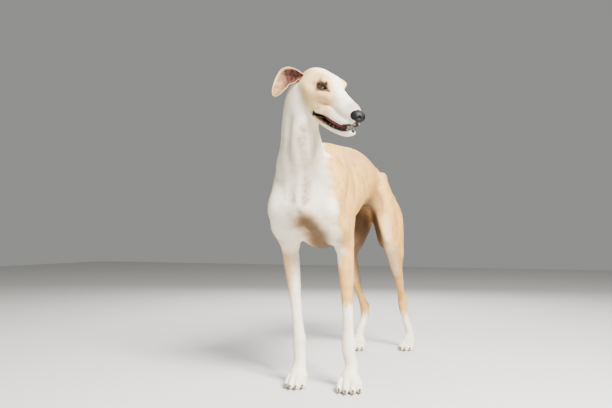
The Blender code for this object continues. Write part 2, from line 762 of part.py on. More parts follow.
def add_rings(mesh, shape):
    """A closed mesh of the shape's sections, just inside its surface, added to the bmesh."""
    rows, sides = shape.rows, shape.sides
    first, last = (rows[0, :3] - rows[1, :3]), (rows[-1, :3] - rows[-2, :3])
    stations = []
    for share, tight in ((0.92, 0.38), (0.60, 0.80)):
        stations.append((rows[0], sides[0], first, share, tight))
    stations += [(row, side, None, 0.0, 1.0) for row, side in zip(rows, sides)]
    for share, tight in ((0.60, 0.80), (0.92, 0.38)):
        stations.append((rows[-1], sides[-1], last, share, tight))
    rings = []
    for i, (row, side, out, share, tight) in enumerate(stations):
        near = min(max(i - 2, 0), len(rows) - 1)
        along = rows[min(near + 1, len(rows) - 1), :3] - rows[max(near - 1, 0), :3]
        along = along / np.linalg.norm(along)
        across = side - along * (side @ along)
        across = across / np.linalg.norm(across)
        above = np.cross(across, along)
        cap = min(row[3:]) if shape.cap is None else shape.cap
        centre = row[:3] + (0 if out is None else out / np.linalg.norm(out) * cap * share)
        ring = []
        for k in range(RING_SIDES):
            angle = 2 * math.pi * k / RING_SIDES
            rise = row[4] if math.sin(angle) > 0 else row[5]
            spot = centre + tight * (across * row[3] * math.cos(angle) + above * rise * math.sin(angle))
            ring.append(mesh.verts.new(spot))
        rings.append(ring)
    for one, other in zip(rings, rings[1:]):
        for k in range(RING_SIDES):
            n = (k + 1) % RING_SIDES
            mesh.faces.new((one[k], one[n], other[n], other[k]))
    mesh.faces.new(rings[0][::-1])
    mesh.faces.new(rings[-1])


def mesh_of_rings(name, shapes):
    mesh = bmesh.new()
    for shape in shapes:
        add_rings(mesh, shape)
    bmesh.ops.recalc_face_normals(mesh, faces=mesh.faces)
    data = bpy.data.meshes.new(name)
    mesh.to_mesh(data)
    mesh.free()
    made = bpy.data.objects.new(name, data)
    bpy.context.scene.collection.objects.link(made)
    return made


def apply_modifiers(made):
    """The object's evaluated mesh becomes its mesh, and its modifiers go."""
    graph = bpy.context.evaluated_depsgraph_get()
    data = bpy.data.meshes.new_from_object(made.evaluated_get(graph))
    made.modifiers.clear()
    made.data = data


def remesh(made, voxel):
    modifier = made.modifiers.new("skin", "REMESH")
    modifier.mode = "VOXEL"
    modifier.voxel_size = voxel
    apply_modifiers(made)


def points_of(made):
    flat = np.empty(len(made.data.vertices) * 3)
    made.data.vertices.foreach_get("co", flat)
    return flat.reshape(-1, 3)


def place_points(made, points):
    made.data.vertices.foreach_set("co", points.ravel())
    made.data.update()


PROBE = 0.0006
CORNERS = np.array([(1, 1, 1), (1, -1, -1), (-1, 1, -1), (-1, -1, 1)], float)
MOST_STEP = 0.006


def settle(points, shapes, rounds=3, inset=0.0):
    """Moves points onto the field's surface, or inset below it."""
    for _ in range(rounds):
        samples = [field(shapes, points + PROBE * corner) for corner in CORNERS]
        value = sum(samples) / 4 + inset
        slope = sum(s[:, None] * c for s, c in zip(samples, CORNERS)) / (4 * PROBE)
        steep = np.maximum((slope**2).sum(axis=1), 0.05)
        move = slope * (value / steep)[:, None]
        length = np.linalg.norm(move, axis=1)
        move *= np.minimum(1, MOST_STEP / np.maximum(length, 1e-9))[:, None]
        points = points - move
    return points


def skin(voxel, shapes, inset=0.0):
    """One closed skin over all the shapes."""
    made = mesh_of_rings("skin", [s for s in shapes if isinstance(s, Shape) and not s.cuts])
    remesh(made, voxel)
    place_points(made, settle(points_of(made), shapes, inset=inset))
    return made


def in_zones(points, zones):
    """Which points lie within any of the balls, each given as a centre and a reach."""
    inside = np.zeros(len(points), bool)
    for centre, reach in zones:
        inside |= ((points - np.array(centre)) ** 2).sum(axis=1) < reach**2
    return inside


def refine(made, zones):
    """Halves the edges whose ends both lie in the zones."""
    inside = in_zones(points_of(made), zones)
    mesh = bmesh.new()
    mesh.from_mesh(made.data)
    mesh.verts.ensure_lookup_table()
    edges = [e for e in mesh.edges if inside[e.verts[0].index] and inside[e.verts[1].index]]
    bmesh.ops.subdivide_edges(mesh, edges=edges, cuts=1, use_grid_fill=True)
    bmesh.ops.triangulate(mesh, faces=[f for f in mesh.faces if len(f.verts) > 4])
    mesh.to_mesh(made.data)
    mesh.free()


def thin_out(made, zones, wanted, inside=True):
    """Joins small faces inside the zones, or outside them, until that many triangles are left there."""
    mesh = made.data
    chosen = in_zones(points_of(made), zones) == inside
    group = made.vertex_groups.new(name="chosen")
    group.add([int(i) for i in np.nonzero(chosen)[0]], 1.0, "REPLACE")
    mesh.calc_loop_triangles()
    corners = np.empty(len(mesh.loop_triangles) * 3, np.int32)
    mesh.loop_triangles.foreach_get("vertices", corners)
    within = chosen[corners.reshape(-1, 3)].all(axis=1).sum()
    total = len(mesh.loop_triangles)
    modifier = made.modifiers.new("thin", "DECIMATE")
    modifier.ratio = (total - within + wanted) / total
    modifier.vertex_group = "chosen"
    modifier.use_collapse_triangulate = True
    apply_modifiers(made)
    made.vertex_groups.clear()


def box(name, centre, axes, sizes):
    """A box with its sides along the given directions, which are right-handed."""
    frame = np.array([np.array(a, float) / np.linalg.norm(a) for a in axes]).T
    mesh = bmesh.new()
    bmesh.ops.create_cube(mesh, size=1.0)
    for vert in mesh.verts:
        vert.co = Vector(np.array(centre, float) + frame @ (np.array(vert.co) * sizes))
    return linked(name, mesh)


def linked(name, mesh):
    """The bmesh as a new object."""
    data = bpy.data.meshes.new(name)
    mesh.to_mesh(data)
    mesh.free()
    made = bpy.data.objects.new(name, data)
    bpy.context.scene.collection.objects.link(made)
    return made


def boolean(made, others, operation, solver="MANIFOLD"):
    """One Boolean with all the others, which are then removed."""
    tools = bpy.data.collections.new("tools")
    for other in others:
        tools.objects.link(other)
    modifier = made.modifiers.new("work", "BOOLEAN")
    modifier.operation = operation
    modifier.solver = solver
    modifier.operand_type = "COLLECTION"
    modifier.collection = tools
    apply_modifiers(made)
    for other in others:
        bpy.data.objects.remove(other)
    bpy.data.collections.remove(tools)


def slab(centre, normal, across, length, width):
    """A cut as thin as the gap between two neighbours; across is one direction of its face."""
    normal = np.array(normal, float) / np.linalg.norm(normal)
    across = np.array(across, float) - normal * (normal @ np.array(across, float))
    other = np.cross(normal, across)
    return box("cut", centre, (across, other, normal), (length, width, GAP))


def head_slab(point, normal, length, width):
    return slab(on_head(point), HEAD_AXES @ np.array(normal, float), HEAD_LEFT, length, width)


def middle_cuts():
    """The thin cuts across the middle: throat, jaw, foot of the neck and root of the tail."""
    return [
        head_slab((-0.0725, 0, -0.041), (0.768, 0, 0.640), 0.20, 0.26),
        slab((0, -0.036, 0.611), (0, -0.72, 0.69), (1, 0, 0), 0.36, 0.33),
        slab((0, 0.728, 0.590), (0, 1, 0.08), (1, 0, 0), 0.07, 0.14),
        head_slab((-0.0181, 0, -0.0785), (-0.539, 0, 0.842), 0.14, 0.0390),
    ]


def mouth_corners():
    """A wedge right across the head, that opens the mouth as far back as the corners of the lips."""
    outline = (
        (0.045, -0.0640),
        (0.045, -0.0790),
        (0.022, -0.0775),
        (0.006, -0.0745),
        (-0.003, -0.0710),
        (-0.0045, -0.0690),
        (-0.003, -0.0665),
        (0.012, -0.0645),
    )
    mesh = bmesh.new()
    rings = [[mesh.verts.new(on_head((x, y, z))) for x, z in outline] for y in (-0.06, 0.06)]
    for k in range(len(outline)):
        n = (k + 1) % len(outline)
        mesh.faces.new((rings[0][k], rings[0][n], rings[1][n], rings[1][k]))
    mesh.faces.new(rings[0][::-1])
    mesh.faces.new(rings[1])
    bmesh.ops.recalc_face_normals(mesh, faces=mesh.faces)
    return linked("wedge", mesh)


def leg_cuts(side):
    """The thin cuts of one side: elbow, thigh and the two paws."""
    s = SIGN[side]
    wrist, hock = np.array(FORE_WRIST[side]), np.array(HIND_HOCK[side])
    fore, hind = np.array(FORE_PAW[side]), np.array(HIND_PAW[side])
    return [
        slab((0.092 * s, 0, 0.425), (-1.19 * s, 0, 1), (0, 1, 0), 0.21, 0.15),
        slab((0.0506 * s, 0.5812, 0.506), (s, 0.25, -0.6), (0, 1, 0), 0.358, 0.245),
        slab((*(fore * 0.3 + wrist * 0.7)[:2], 0.094), (0, 0, 1), (1, 0, 0), 0.07, 0.08),
        slab((*(hind * 0.62 + hock * 0.38)[:2], 0.072), (0, 0, 1), (1, 0, 0), 0.07, 0.08),
    ]


def pieces_of(made):
    """The closed surfaces of the object as separate objects, largest first."""
    mesh = bmesh.new()
    mesh.from_mesh(made.data)
    left = set(mesh.verts)
    found = []
    while left:
        todo = [left.pop()]
        group = set(todo)
        while todo:
            for edge in todo.pop().link_edges:
                for vert in edge.verts:
                    if vert not in group:
                        group.add(vert)
                        todo.append(vert)
        left -= group
        found.append([vert.index for vert in group])
    mesh.free()
    return sorted(found, key=len, reverse=True)


def split(made, names):
    """Each closed surface becomes an object, named by the nearest of the named points; crumbs are dropped."""
    sets = pieces_of(made)
    points = points_of(made)
    for indices in sets:
        if len(indices) < 20:
            continue
        middle = points[indices].mean(axis=0)
        apart = {name: np.linalg.norm(middle - np.array(spot)) for name, spot in names.items()}
        name = min(apart, key=apart.get)
        keep = set(indices)
        mesh = bmesh.new()
        mesh.from_mesh(made.data)
        mesh.verts.ensure_lookup_table()
        bmesh.ops.delete(mesh, geom=[v for v in mesh.verts if v.index not in keep], context="VERTS")
        if name in bpy.data.objects:
            mesh.free()
            continue
        linked(name, mesh)
    bpy.data.objects.remove(made)


def keep_largest(made):
    sets = pieces_of(made)
    if len(sets) > 1:
        keep = set(sets[0])
        mesh = bmesh.new()
        mesh.from_mesh(made.data)
        mesh.verts.ensure_lookup_table()
        bmesh.ops.delete(mesh, geom=[v for v in mesh.verts if v.index not in keep], context="VERTS")
        mesh.to_mesh(made.data)
        mesh.free()


def small_solid(name, shapes, voxel, wanted, inset=0.0):
    """A node of its own, made as the skin is, then thinned to the wanted triangles."""
    made = skin(voxel, shapes, inset)
    made.name = name
    if wanted:
        thin_out(made, [((0, 0, 0), 9)], wanted)
    return made


def nose_shapes():
    """The nose leather, with its wings and the comma of each nostril."""
    shapes = [
        head_ball((0.1205, 0, -0.0290), (0.0150, 0.0165, 0.0135), blend=0.008),
        head_ball((0.1300, 0, -0.0345), (0.0090, 0.0080, 0.0105), blend=0.006),
    ]
    for s in SIGN.values():
        shapes.append(head_ball((0.1200, 0.0092 * s, -0.0315), (0.0088, 0.0150, 0.0105), blend=0.006))
    for s in SIGN.values():
        shapes.append(
            head_shape(
                [
                    (0.1415, 0.0052 * s, -0.0300, 0.0028, 0.0032),
                    (0.1320, 0.0068 * s, -0.0305, 0.0028, 0.0030),
                    (0.1235, 0.0074 * s, -0.0315, 0.0021, 0.0023),
                ],
                blend=0.0015,
                cuts=True,
            )
        )
        shapes.append(
            head_shape(
                [
                    (0.1360, 0.0095 * s, -0.0315, 0.0020, 0.0015),
                    (0.1290, 0.0148 * s, -0.0338, 0.0023, 0.0013),
                    (0.1205, 0.0180 * s, -0.0358, 0.0021, 0.0011),
                ],
                blend=0.0015,
                cuts=True,
            )
        )
    middle = [on_head(p) for p in ((0.140, 0, -0.028), (0.138, 0, -0.039), (0.130, 0, -0.047))]
    return shapes + [Groove(middle, 0.0018, 0.0014)]


def tongue_shapes():
    middle = [on_head(p) for p in ((0.100, 0, -0.069), (0.070, 0, -0.066), (0.040, 0, -0.064))]
    return [
        head_shape(
            [
                (0.102, 0, -0.0722, 0.0070, 0.0030, 0.0040),
                (0.084, 0, -0.0718, 0.0110, 0.0050, 0.0070),
                (0.058, 0, -0.0720, 0.0135, 0.0060, 0.0070),
                (0.034, 0, -0.0705, 0.0150, 0.0060, 0.0070),
                (0.012, 0, -0.0670, 0.0140, 0.0050, 0.0060),
            ],
            blend=0.004,
        ),
        Groove(middle, 0.0025, 0.0012),
    ]


def cone(points, radii, sides=6):
    """A tooth or a claw: rings that narrow along a bent line, with a blunt tip."""
    points = np.array(points, float)
    mesh = bmesh.new()
    rings = []
    for i, (point, radius) in enumerate(zip(points, radii)):
        along = points[min(i + 1, len(points) - 1)] - points[max(i - 1, 0)]
        along = along / np.linalg.norm(along)
        across = np.cross(along, (0.3, 0.1, 0.95))
        across = across / np.linalg.norm(across)
        above = np.cross(across, along)
        angles = [2 * math.pi * k / sides for k in range(sides)]
        ring = [point + radius * (across * math.cos(a) + above * math.sin(a)) for a in angles]
        rings.append([mesh.verts.new(spot) for spot in ring])
    for one, other in zip(rings, rings[1:]):
        for k in range(sides):
            n = (k + 1) % sides
            mesh.faces.new((one[k], one[n], other[n], other[k]))
    mesh.faces.new(rings[0][::-1])
    mesh.faces.new(rings[-1])
    bmesh.ops.recalc_face_normals(mesh, faces=mesh.faces)
    return linked("cone", mesh)


def claws(place, turn, size, spread):
    return [cone(points, (0.0034, 0.0028, 0.0012)) for points in claw_stations(place, turn, size, spread)]


def tooth(x, y, root_z, tip_z, radius, lean=0.0):
    """A tooth given in the head's frame, from its root to its tip."""
    middle = root_z * 0.45 + tip_z * 0.55
    spots = [(x, y, root_z), (x + lean * 0.4, y, middle), (x - lean * 0.2, y * 1.02, tip_z)]
    return cone([on_head(p) for p in spots], (radius, radius * 0.8, radius * 0.3), 6)


def upper_teeth():
    made = []
    for s in SIGN.values():
        made.append(tooth(0.1025, 0.0122 * s, -0.0500, -0.0640, 0.0027, 0.003))
        for i in range(3):
            made.append(tooth(0.1175 - 0.0016 * i * i, (0.0018 + 0.0032 * i) * s, -0.0450, -0.0545, 0.0017))
        for i in range(4):
            made.append(tooth(0.086 - 0.0125 * i, (0.0150 + 0.0020 * i) * s, -0.0500, -0.0650, 0.0032))
    return made


def lower_teeth():
    made = []
    for s in SIGN.values():
        made.append(tooth(0.1085, 0.0090 * s, -0.0795, -0.0635, 0.0024, 0.003))
        for i in range(3):
            made.append(tooth(0.1150 - 0.0010 * i * i, (0.0016 + 0.0025 * i) * s, -0.0780, -0.0675, 0.0015))
        for i in range(4):
            made.append(tooth(0.090 - 0.0125 * i, (0.0130 + 0.0022 * i) * s, -0.0870, -0.0755, 0.0026))
    return made


def eye_ball(name, centre, radius, segments=16, rings=10):
    mesh = bmesh.new()
    bmesh.ops.create_uvsphere(mesh, u_segments=segments, v_segments=rings, radius=radius)
    for vert in mesh.verts:
        vert.co = Vector(centre) + vert.co
    return linked(name, mesh)


def lid_opening(side):
    """The almond between the lids: a lens-shaped prism that looks out from the eyeball's middle."""
    s = SIGN[side]
    look = np.array([0.62, 0.78 * s, 0.06])
    look = look / np.linalg.norm(look)
    corner = np.array([-0.78, 0.62 * s, LID_SLANT])
    corner = corner - look * (look @ corner)
    corner = corner / np.linalg.norm(corner)
    upward = np.cross(look, corner) * s
    outline = []
    for i in range(12):
        u = -1 + i / 6
        outline.append((u * LID_HALF_LENGTH, LID_UP * (1 - abs(u) ** 2.2)))
    for i in range(12):
        u = 1 - i / 6
        outline.append((u * LID_HALF_LENGTH, -LID_DOWN * (1 - abs(u) ** 2.4)))
    mesh = bmesh.new()
    rings = []
    for depth, grow in ((0.0, 1.0), (0.030, 1.25)):
        ring = []
        for u, v in outline:
            spot = look * depth + grow * (corner * u + upward * v)
            ring.append(mesh.verts.new(eye_centre(side) + HEAD_AXES @ spot))
        rings.append(ring)
    count = len(outline)
    for k in range(count):
        n = (k + 1) % count
        mesh.faces.new((rings[0][k], rings[0][n], rings[1][n], rings[1][k]))
    mesh.faces.new(rings[0][::-1])
    mesh.faces.new(rings[1])
    bmesh.ops.recalc_face_normals(mesh, faces=mesh.faces)
    return linked("opening", mesh)


EAR_FACING = (0.43, 0.87, 0.20)
EAR_LINE = (
    # From the root to the tip, in the head's frame: outer edge, inner edge, depth of the cup
    (-0.078, 0.034, 0.010, -0.081, 0.037, -0.014, 0.003),
    (-0.097, 0.042, 0.013, -0.093, 0.044, -0.007, 0.006),
    (-0.116, 0.050, 0.017, -0.100, 0.050, -0.020, 0.010),
    (-0.134, 0.060, 0.013, -0.111, 0.057, -0.028, 0.012),
    (-0.147, 0.068, 0.002, -0.112, 0.060, -0.037, 0.012),
    (-0.151, 0.074, -0.017, -0.116, 0.065, -0.048, 0.010),
    (-0.149, 0.079, -0.040, -0.121, 0.069, -0.058, 0.007),
    (-0.145, 0.081, -0.058, -0.126, 0.074, -0.066, 0.004),
    (-0.138, 0.080, -0.069, -0.131, 0.077, -0.070, 0.001),
)


def ear_grid(side, steps=2, across=9):
    """Points over the ear's middle sheet, cupped between its two edges, in the head's frame."""
    mirror = np.array([1, SIGN[side], 1])
    facing = np.array(EAR_FACING) / np.linalg.norm(EAR_FACING)
    v = np.linspace(-1, 1, across)[:, None]
    rows = []
    for row in smooth_rows(np.array(EAR_LINE), steps):
        flat = row[:3] * (1 - v) / 2 + row[3:6] * (1 + v) / 2
        rows.append((flat - facing * row[6] * (1 - v * v)) * mirror)
    points = np.array(rows)
    if side == "left":
        points = fold_back(points)
    return points


def fold_back(points):
    """The far ear lies a little lower: turned about the ear's root, in the head's own frame."""
    root = np.array(EAR_LINE[0][:3])
    turn = np.array(Matrix.Rotation(-EAR_DROP, 3, "Y"))
    return (points - root) @ turn.T + root


def ear(side):
    """A thin cupped sheet, rounded at its rim."""
    points = ear_grid(side)
    rows, columns = points.shape[:2]
    du = np.gradient(points, axis=0)
    dv = np.gradient(points, axis=1)
    normal = np.cross(du, dv)
    normal = normal / np.linalg.norm(normal, axis=2, keepdims=True)
    edge = np.ones((rows, columns, 1))
    edge[:, (0, -1)] = 0.45
    edge[-1] = 0.45
    thick = 0.5 * EAR_THICK * edge
    mesh = bmesh.new()
    sheets = []
    for sign in (1, -1):
        spots = points + sign * normal * thick
        sheets.append([[mesh.verts.new(on_head(p)) for p in row] for row in spots])
    for sheet in sheets:
        for i in range(rows - 1):
            for j in range(columns - 1):
                mesh.faces.new((sheet[i][j], sheet[i + 1][j], sheet[i + 1][j + 1], sheet[i][j + 1]))
    border = [(i, 0) for i in range(rows)]
    border += [(rows - 1, j) for j in range(1, columns)]
    border += [(i, columns - 1) for i in range(rows - 2, -1, -1)]
    border += [(0, j) for j in range(columns - 2, 0, -1)]
    top, low = sheets
    for k, (i, j) in enumerate(border):
        m, n = border[(k + 1) % len(border)]
        mesh.faces.new((top[i][j], low[i][j], low[m][n], top[m][n]))
    bmesh.ops.recalc_face_normals(mesh, faces=mesh.faces)
    return linked("ear_" + side, mesh)


def swollen(made, name, by):
    """A copy grown by the given distance along its normals."""
    data = made.data.copy()
    copy = bpy.data.objects.new(name, data)
    bpy.context.scene.collection.objects.link(copy)
    mesh = bmesh.new()
    mesh.from_mesh(data)
    mesh.normal_update()
    moves = [(v, v.normal.copy()) for v in mesh.verts]
    for vert, normal in moves:
        vert.co += normal * by
    mesh.to_mesh(data)
    mesh.free()
    return copy


COLOURS = {
    "torso": (0.72, 0.52, 0.32),
    "neck": (0.80, 0.74, 0.66),
    "head": (0.74, 0.60, 0.44),
    "lower_jaw": (0.80, 0.73, 0.62),
    "tongue": (0.42, 0.16, 0.17),
    "nose": (0.015, 0.013, 0.014),
    "ear_left": (0.55, 0.38, 0.25),
    "ear_right": (0.56, 0.39, 0.26),
    "eye_left": (0.025, 0.012, 0.006),
    "eye_right": (0.026, 0.012, 0.006),
    "foreleg_left": (0.70, 0.52, 0.36),
    "foreleg_right": (0.80, 0.72, 0.64),
    "forepaw_left": (0.82, 0.78, 0.72),
    "forepaw_right": (0.83, 0.78, 0.72),
    "hindleg_left": (0.72, 0.53, 0.33),
    "hindleg_right": (0.70, 0.52, 0.34),
    "hindpaw_left": (0.80, 0.76, 0.70),
    "hindpaw_right": (0.81, 0.76, 0.70),
    "tail": (0.72, 0.56, 0.38),
}
GLOSSY = {"nose": 0.35, "tongue": 0.35, "eye_left": 0.08, "eye_right": 0.08}


def dress(name):
    made = bpy.data.objects[name]
    material = bpy.data.materials.new(name + "_surface")
    material.use_nodes = True
    shader = material.node_tree.nodes["Principled BSDF"]
    shader.inputs["Base Color"].default_value = (*COLOURS[name], 1)
    shader.inputs["Roughness"].default_value = GLOSSY.get(name, 0.7)
    made.data.materials.clear()
    made.data.materials.append(material)


def centre_on_floor(names):
    """Moves the whole dog so that the middle of its bounding box stands over the origin."""
    everything = np.vstack([points_of(bpy.data.objects[name]) for name in names])
    middle = (everything.min(axis=0) + everything.max(axis=0)) / 2
    shift = -np.array([middle[0], middle[1], everything[:, 2].min()])
    for name in names:
        made = bpy.data.objects[name]
        place_points(made, points_of(made) + shift)


def main():
    for old in list(bpy.data.objects):
        bpy.data.objects.remove(old)
    shapes = body_shapes()
    head_zone = [(on_head((0.02, 0, -0.03)), 0.125)]
    paw_zones = [(np.array(FORE_PAW[side]) + (0, -0.02, 0.02), 0.065) for side in SIGN]
    paw_zones += [(np.array(HIND_PAW[side]) + (0, -0.02, 0.02), 0.060) for side in SIGN]

    made = mesh_of_rings("skin", [s for s in shapes if isinstance(s, Shape) and not s.cuts])
    remesh(made, 0.0052)
    place_points(made, settle(points_of(made), shapes, rounds=2))
    refine(made, head_zone + paw_zones)
    place_points(made, settle(points_of(made), shapes, rounds=2))
    thin_out(made, head_zone + paw_zones, 4050, inside=False)
    thin_out(made, head_zone, 2700)
    thin_out(made, paw_zones, 1700)

    floor = box("floor", (0, 0.28, -0.05), ((1, 0, 0), (0, 1, 0), (0, 0, 1)), (1, 1.6, 0.1))
    boolean(made, [floor], "DIFFERENCE", "EXACT")
    for tool in [mouth_corners()] + middle_cuts() + leg_cuts("left") + leg_cuts("right"):
        boolean(made, [tool], "DIFFERENCE")
    names = {
        "torso": (0, 0.28, 0.57),
        "neck": (-0.01, -0.07, 0.68),
        "head": on_head((0.01, 0, -0.02)),
        "lower_jaw": on_head((0.06, 0, -0.082)),
        "tail": (0.03, 0.75, 0.42),
    }
    for side in SIGN:
        wrist, hock = np.array(FORE_WRIST[side]), np.array(HIND_HOCK[side])
        names["foreleg_" + side] = wrist + (0, 0, 0.13)
        names["forepaw_" + side] = np.array(FORE_PAW[side]) + (0, -0.01, 0.03)
        names["hindleg_" + side] = hock + (0, -0.12, 0.15)
        names["hindpaw_" + side] = np.array(HIND_PAW[side]) + (0, -0.01, 0.03)
    split(made, names)

    head, jaw = bpy.data.objects["head"], bpy.data.objects["lower_jaw"]
    nose = small_solid("nose", nose_shapes(), 0.0013, 460)
    tongue = small_solid("tongue", tongue_shapes(), 0.0022, 200)
    boolean(head, upper_teeth(), "UNION")
    keep_largest(head)
    boolean(jaw, lower_teeth(), "UNION")
    keep_largest(jaw)
    tools = [swollen(nose, "nose_room", GAP)]
    for side in SIGN:
        eye_ball("eye_" + side, eye_centre(side), EYE_RADIUS)
        tools.append(eye_ball("socket", eye_centre(side), EYE_RADIUS + 2 * GAP, 16, 10))
        tools.append(lid_opening(side))
    boolean(head, tools, "DIFFERENCE")
    keep_largest(head)
    boolean(tongue, [swollen(jaw, "jaw_room", GAP), swollen(head, "head_room", GAP)], "DIFFERENCE")
    keep_largest(tongue)
    nape = bpy.data.objects["neck"]
    for side in SIGN:
        lobe = ear(side)
        boolean(lobe, [swollen(head, "head_room", GAP), swollen(nape, "neck_room", GAP)], "DIFFERENCE")
        keep_largest(lobe)
        for kind, place, turn, size in (
            ("forepaw_", FORE_PAW, FORE_PAW_TURN, FORE_PAW_SIZE[side]),
            ("hindpaw_", HIND_PAW, HIND_PAW_TURN, HIND_PAW_SIZE),
        ):
            foot = bpy.data.objects[kind + side]
            boolean(foot, claws(place[side], turn[side], *size), "UNION")
            keep_largest(foot)
    for name in COLOURS:
        dress(name)
    centre_on_floor(COLOURS)


if __name__ == "__main__":
    main()
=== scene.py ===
"""Looks of the standing greyhound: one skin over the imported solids, eyes, nose, mouth, claws and short coat.

The dog's own frame has x to its left, y to its rear and z up. Shapes are worked out in that frame, and each
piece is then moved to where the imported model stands.
"""

import json
import math

import bmesh
import bpy
import numpy as np
from bpy.props import FloatProperty, FloatVectorProperty, IntProperty, PointerProperty
from mathutils import Matrix, Vector
from mathutils.bvhtree import BVHTree
from mathutils.kdtree import KDTree

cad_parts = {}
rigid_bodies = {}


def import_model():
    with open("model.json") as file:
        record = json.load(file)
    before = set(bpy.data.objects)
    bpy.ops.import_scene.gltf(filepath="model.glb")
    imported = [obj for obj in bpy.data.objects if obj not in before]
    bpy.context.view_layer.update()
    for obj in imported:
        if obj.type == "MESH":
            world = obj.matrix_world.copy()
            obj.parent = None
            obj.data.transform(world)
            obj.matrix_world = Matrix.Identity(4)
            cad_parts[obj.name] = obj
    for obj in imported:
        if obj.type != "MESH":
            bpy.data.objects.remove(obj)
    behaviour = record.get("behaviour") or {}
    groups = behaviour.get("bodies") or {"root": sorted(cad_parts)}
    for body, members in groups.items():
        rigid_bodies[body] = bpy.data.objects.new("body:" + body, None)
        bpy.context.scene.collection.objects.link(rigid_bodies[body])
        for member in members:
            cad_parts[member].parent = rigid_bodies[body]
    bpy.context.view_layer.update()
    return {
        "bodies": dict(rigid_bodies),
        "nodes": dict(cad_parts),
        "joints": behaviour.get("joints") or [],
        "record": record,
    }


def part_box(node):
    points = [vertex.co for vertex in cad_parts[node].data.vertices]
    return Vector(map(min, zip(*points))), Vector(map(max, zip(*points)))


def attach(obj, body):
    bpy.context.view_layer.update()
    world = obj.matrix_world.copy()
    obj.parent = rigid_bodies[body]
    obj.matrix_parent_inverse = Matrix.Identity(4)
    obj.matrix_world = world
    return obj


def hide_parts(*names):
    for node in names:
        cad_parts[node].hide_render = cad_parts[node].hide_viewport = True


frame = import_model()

bl_info = {
    "name": "Greyhound looks",
    "version": (1, 0, 0),
    "blender": (4, 5, 0),
    "location": "View3D > Sidebar > Greyhound",
    "description": "Dresses the packed greyhound with skin, short coat, eyes, nose and mouth",
    "category": "Add Mesh",
}

# Driving sizes of the whole dog
WITHERS_HEIGHT = 0.698
BRISKET_HEIGHT = 0.388
CHEST_FRONT_Y = -0.113
CHEST_HALF_WIDTH = 0.084
TUCK_HEIGHT = 0.527
CROUP_HEIGHT = 0.692

# Where the head is held: the point between the eyes, and how far it is turned, lowered and tilted
EYES_CENTRE = Vector((0.117, -0.173, 0.793))
HEAD_TURN = math.radians(60.2)
HEAD_DROP = math.radians(27.3)
HEAD_TILT = math.radians(1.2)

# Joints of the legs: left and right are posed apart, as the dog stands
SHOULDER_POINT = {"left": (0.072, -0.070, 0.490), "right": (-0.075, -0.088, 0.492)}
FORE_ELBOW = {"left": (0.080, 0.030, 0.385), "right": (-0.087, 0.024, 0.383)}
FORE_WRIST = {"left": (0.093, 0.014, 0.127), "right": (-0.055, 0.014, 0.127)}
FORE_PAW = {"left": (0.102, 0.000, 0.0), "right": (-0.050, -0.004, 0.0)}
FORE_PAW_TURN = {"left": math.radians(16), "right": math.radians(8)}
HIND_STIFLE = {"left": (0.084, 0.488, 0.392), "right": (-0.082, 0.470, 0.385)}
HIND_HOCK = {"left": (0.074, 0.702, 0.186), "right": (-0.072, 0.694, 0.146)}
HIND_PAW = {"left": (0.097, 0.700, 0.0), "right": (-0.078, 0.632, 0.0)}
HIND_PAW_TURN = {"left": math.radians(-10), "right": math.radians(6)}
FORE_PAW_SIZE = {"left": (1.0, 1.15), "right": (1.0, 0.95)}
HIND_PAW_SIZE = (0.94, 0.92)
SIGN = {"left": 1.0, "right": -1.0}

# Sizes of the head, in its own frame: x to the nose, y to the left, z up, from the point between the eyes
EYE_SPACING = 0.0365
EYE_RADIUS = 0.0122
LID_THICK = 0.0019

# How far each eyeball's middle lies behind and inside the lids, in radii, and how high it sits
EYE_SET_BACK = 0.72
EYE_SET_IN = 0.70
EYE_RISE = 0.001

# The opening of the lids, and how far its two curves rise and fall
LID_HALF_LENGTH = 0.0142
LID_UP = 0.0062
LID_DOWN = 0.0046
LID_SLANT = 0.10
EAR_THICK = 0.0032
EAR_DROP = math.radians(14)

# The ear's sheet: its rows between two stations, its columns, and how thick its rims are
EAR_STEPS = 4
EAR_ACROSS = 17
EAR_ROOT_ROW = 5
EAR_RIM_SHARE = 0.35
EAR_NEAR_RIM_SHARE = 0.85

# Ribs that show through the skin
RIBS = 6

# The space left between touching nodes
GAP = 0.0003

# How the shapes are read: a distance beyond any, and rows between two stations
FAR = 1.0
STEPS_PER_SPAN = 4
GROOVE_STEPS_PER_SPAN = 3


def unit(vector):
    return vector / np.linalg.norm(vector)


def head_axes():
    """The head's forward, left and up directions, as the columns of a matrix."""
    forward = np.array(
        [
            math.sin(HEAD_TURN) * math.cos(HEAD_DROP),
            -math.cos(HEAD_TURN) * math.cos(HEAD_DROP),
            -math.sin(HEAD_DROP),
        ]
    )
    level_left = np.array([math.cos(HEAD_TURN), math.sin(HEAD_TURN), 0.0])
    level_up = np.cross(forward, level_left)
    left = math.cos(HEAD_TILT) * level_left + math.sin(HEAD_TILT) * level_up
    return np.stack([forward, left, np.cross(forward, left)], axis=1)


HEAD_AXES = head_axes()


def on_head(point):
    """A point of the head's own frame, in the dog's frame."""
    return np.array(EYES_CENTRE) + HEAD_AXES @ np.array(point, float)


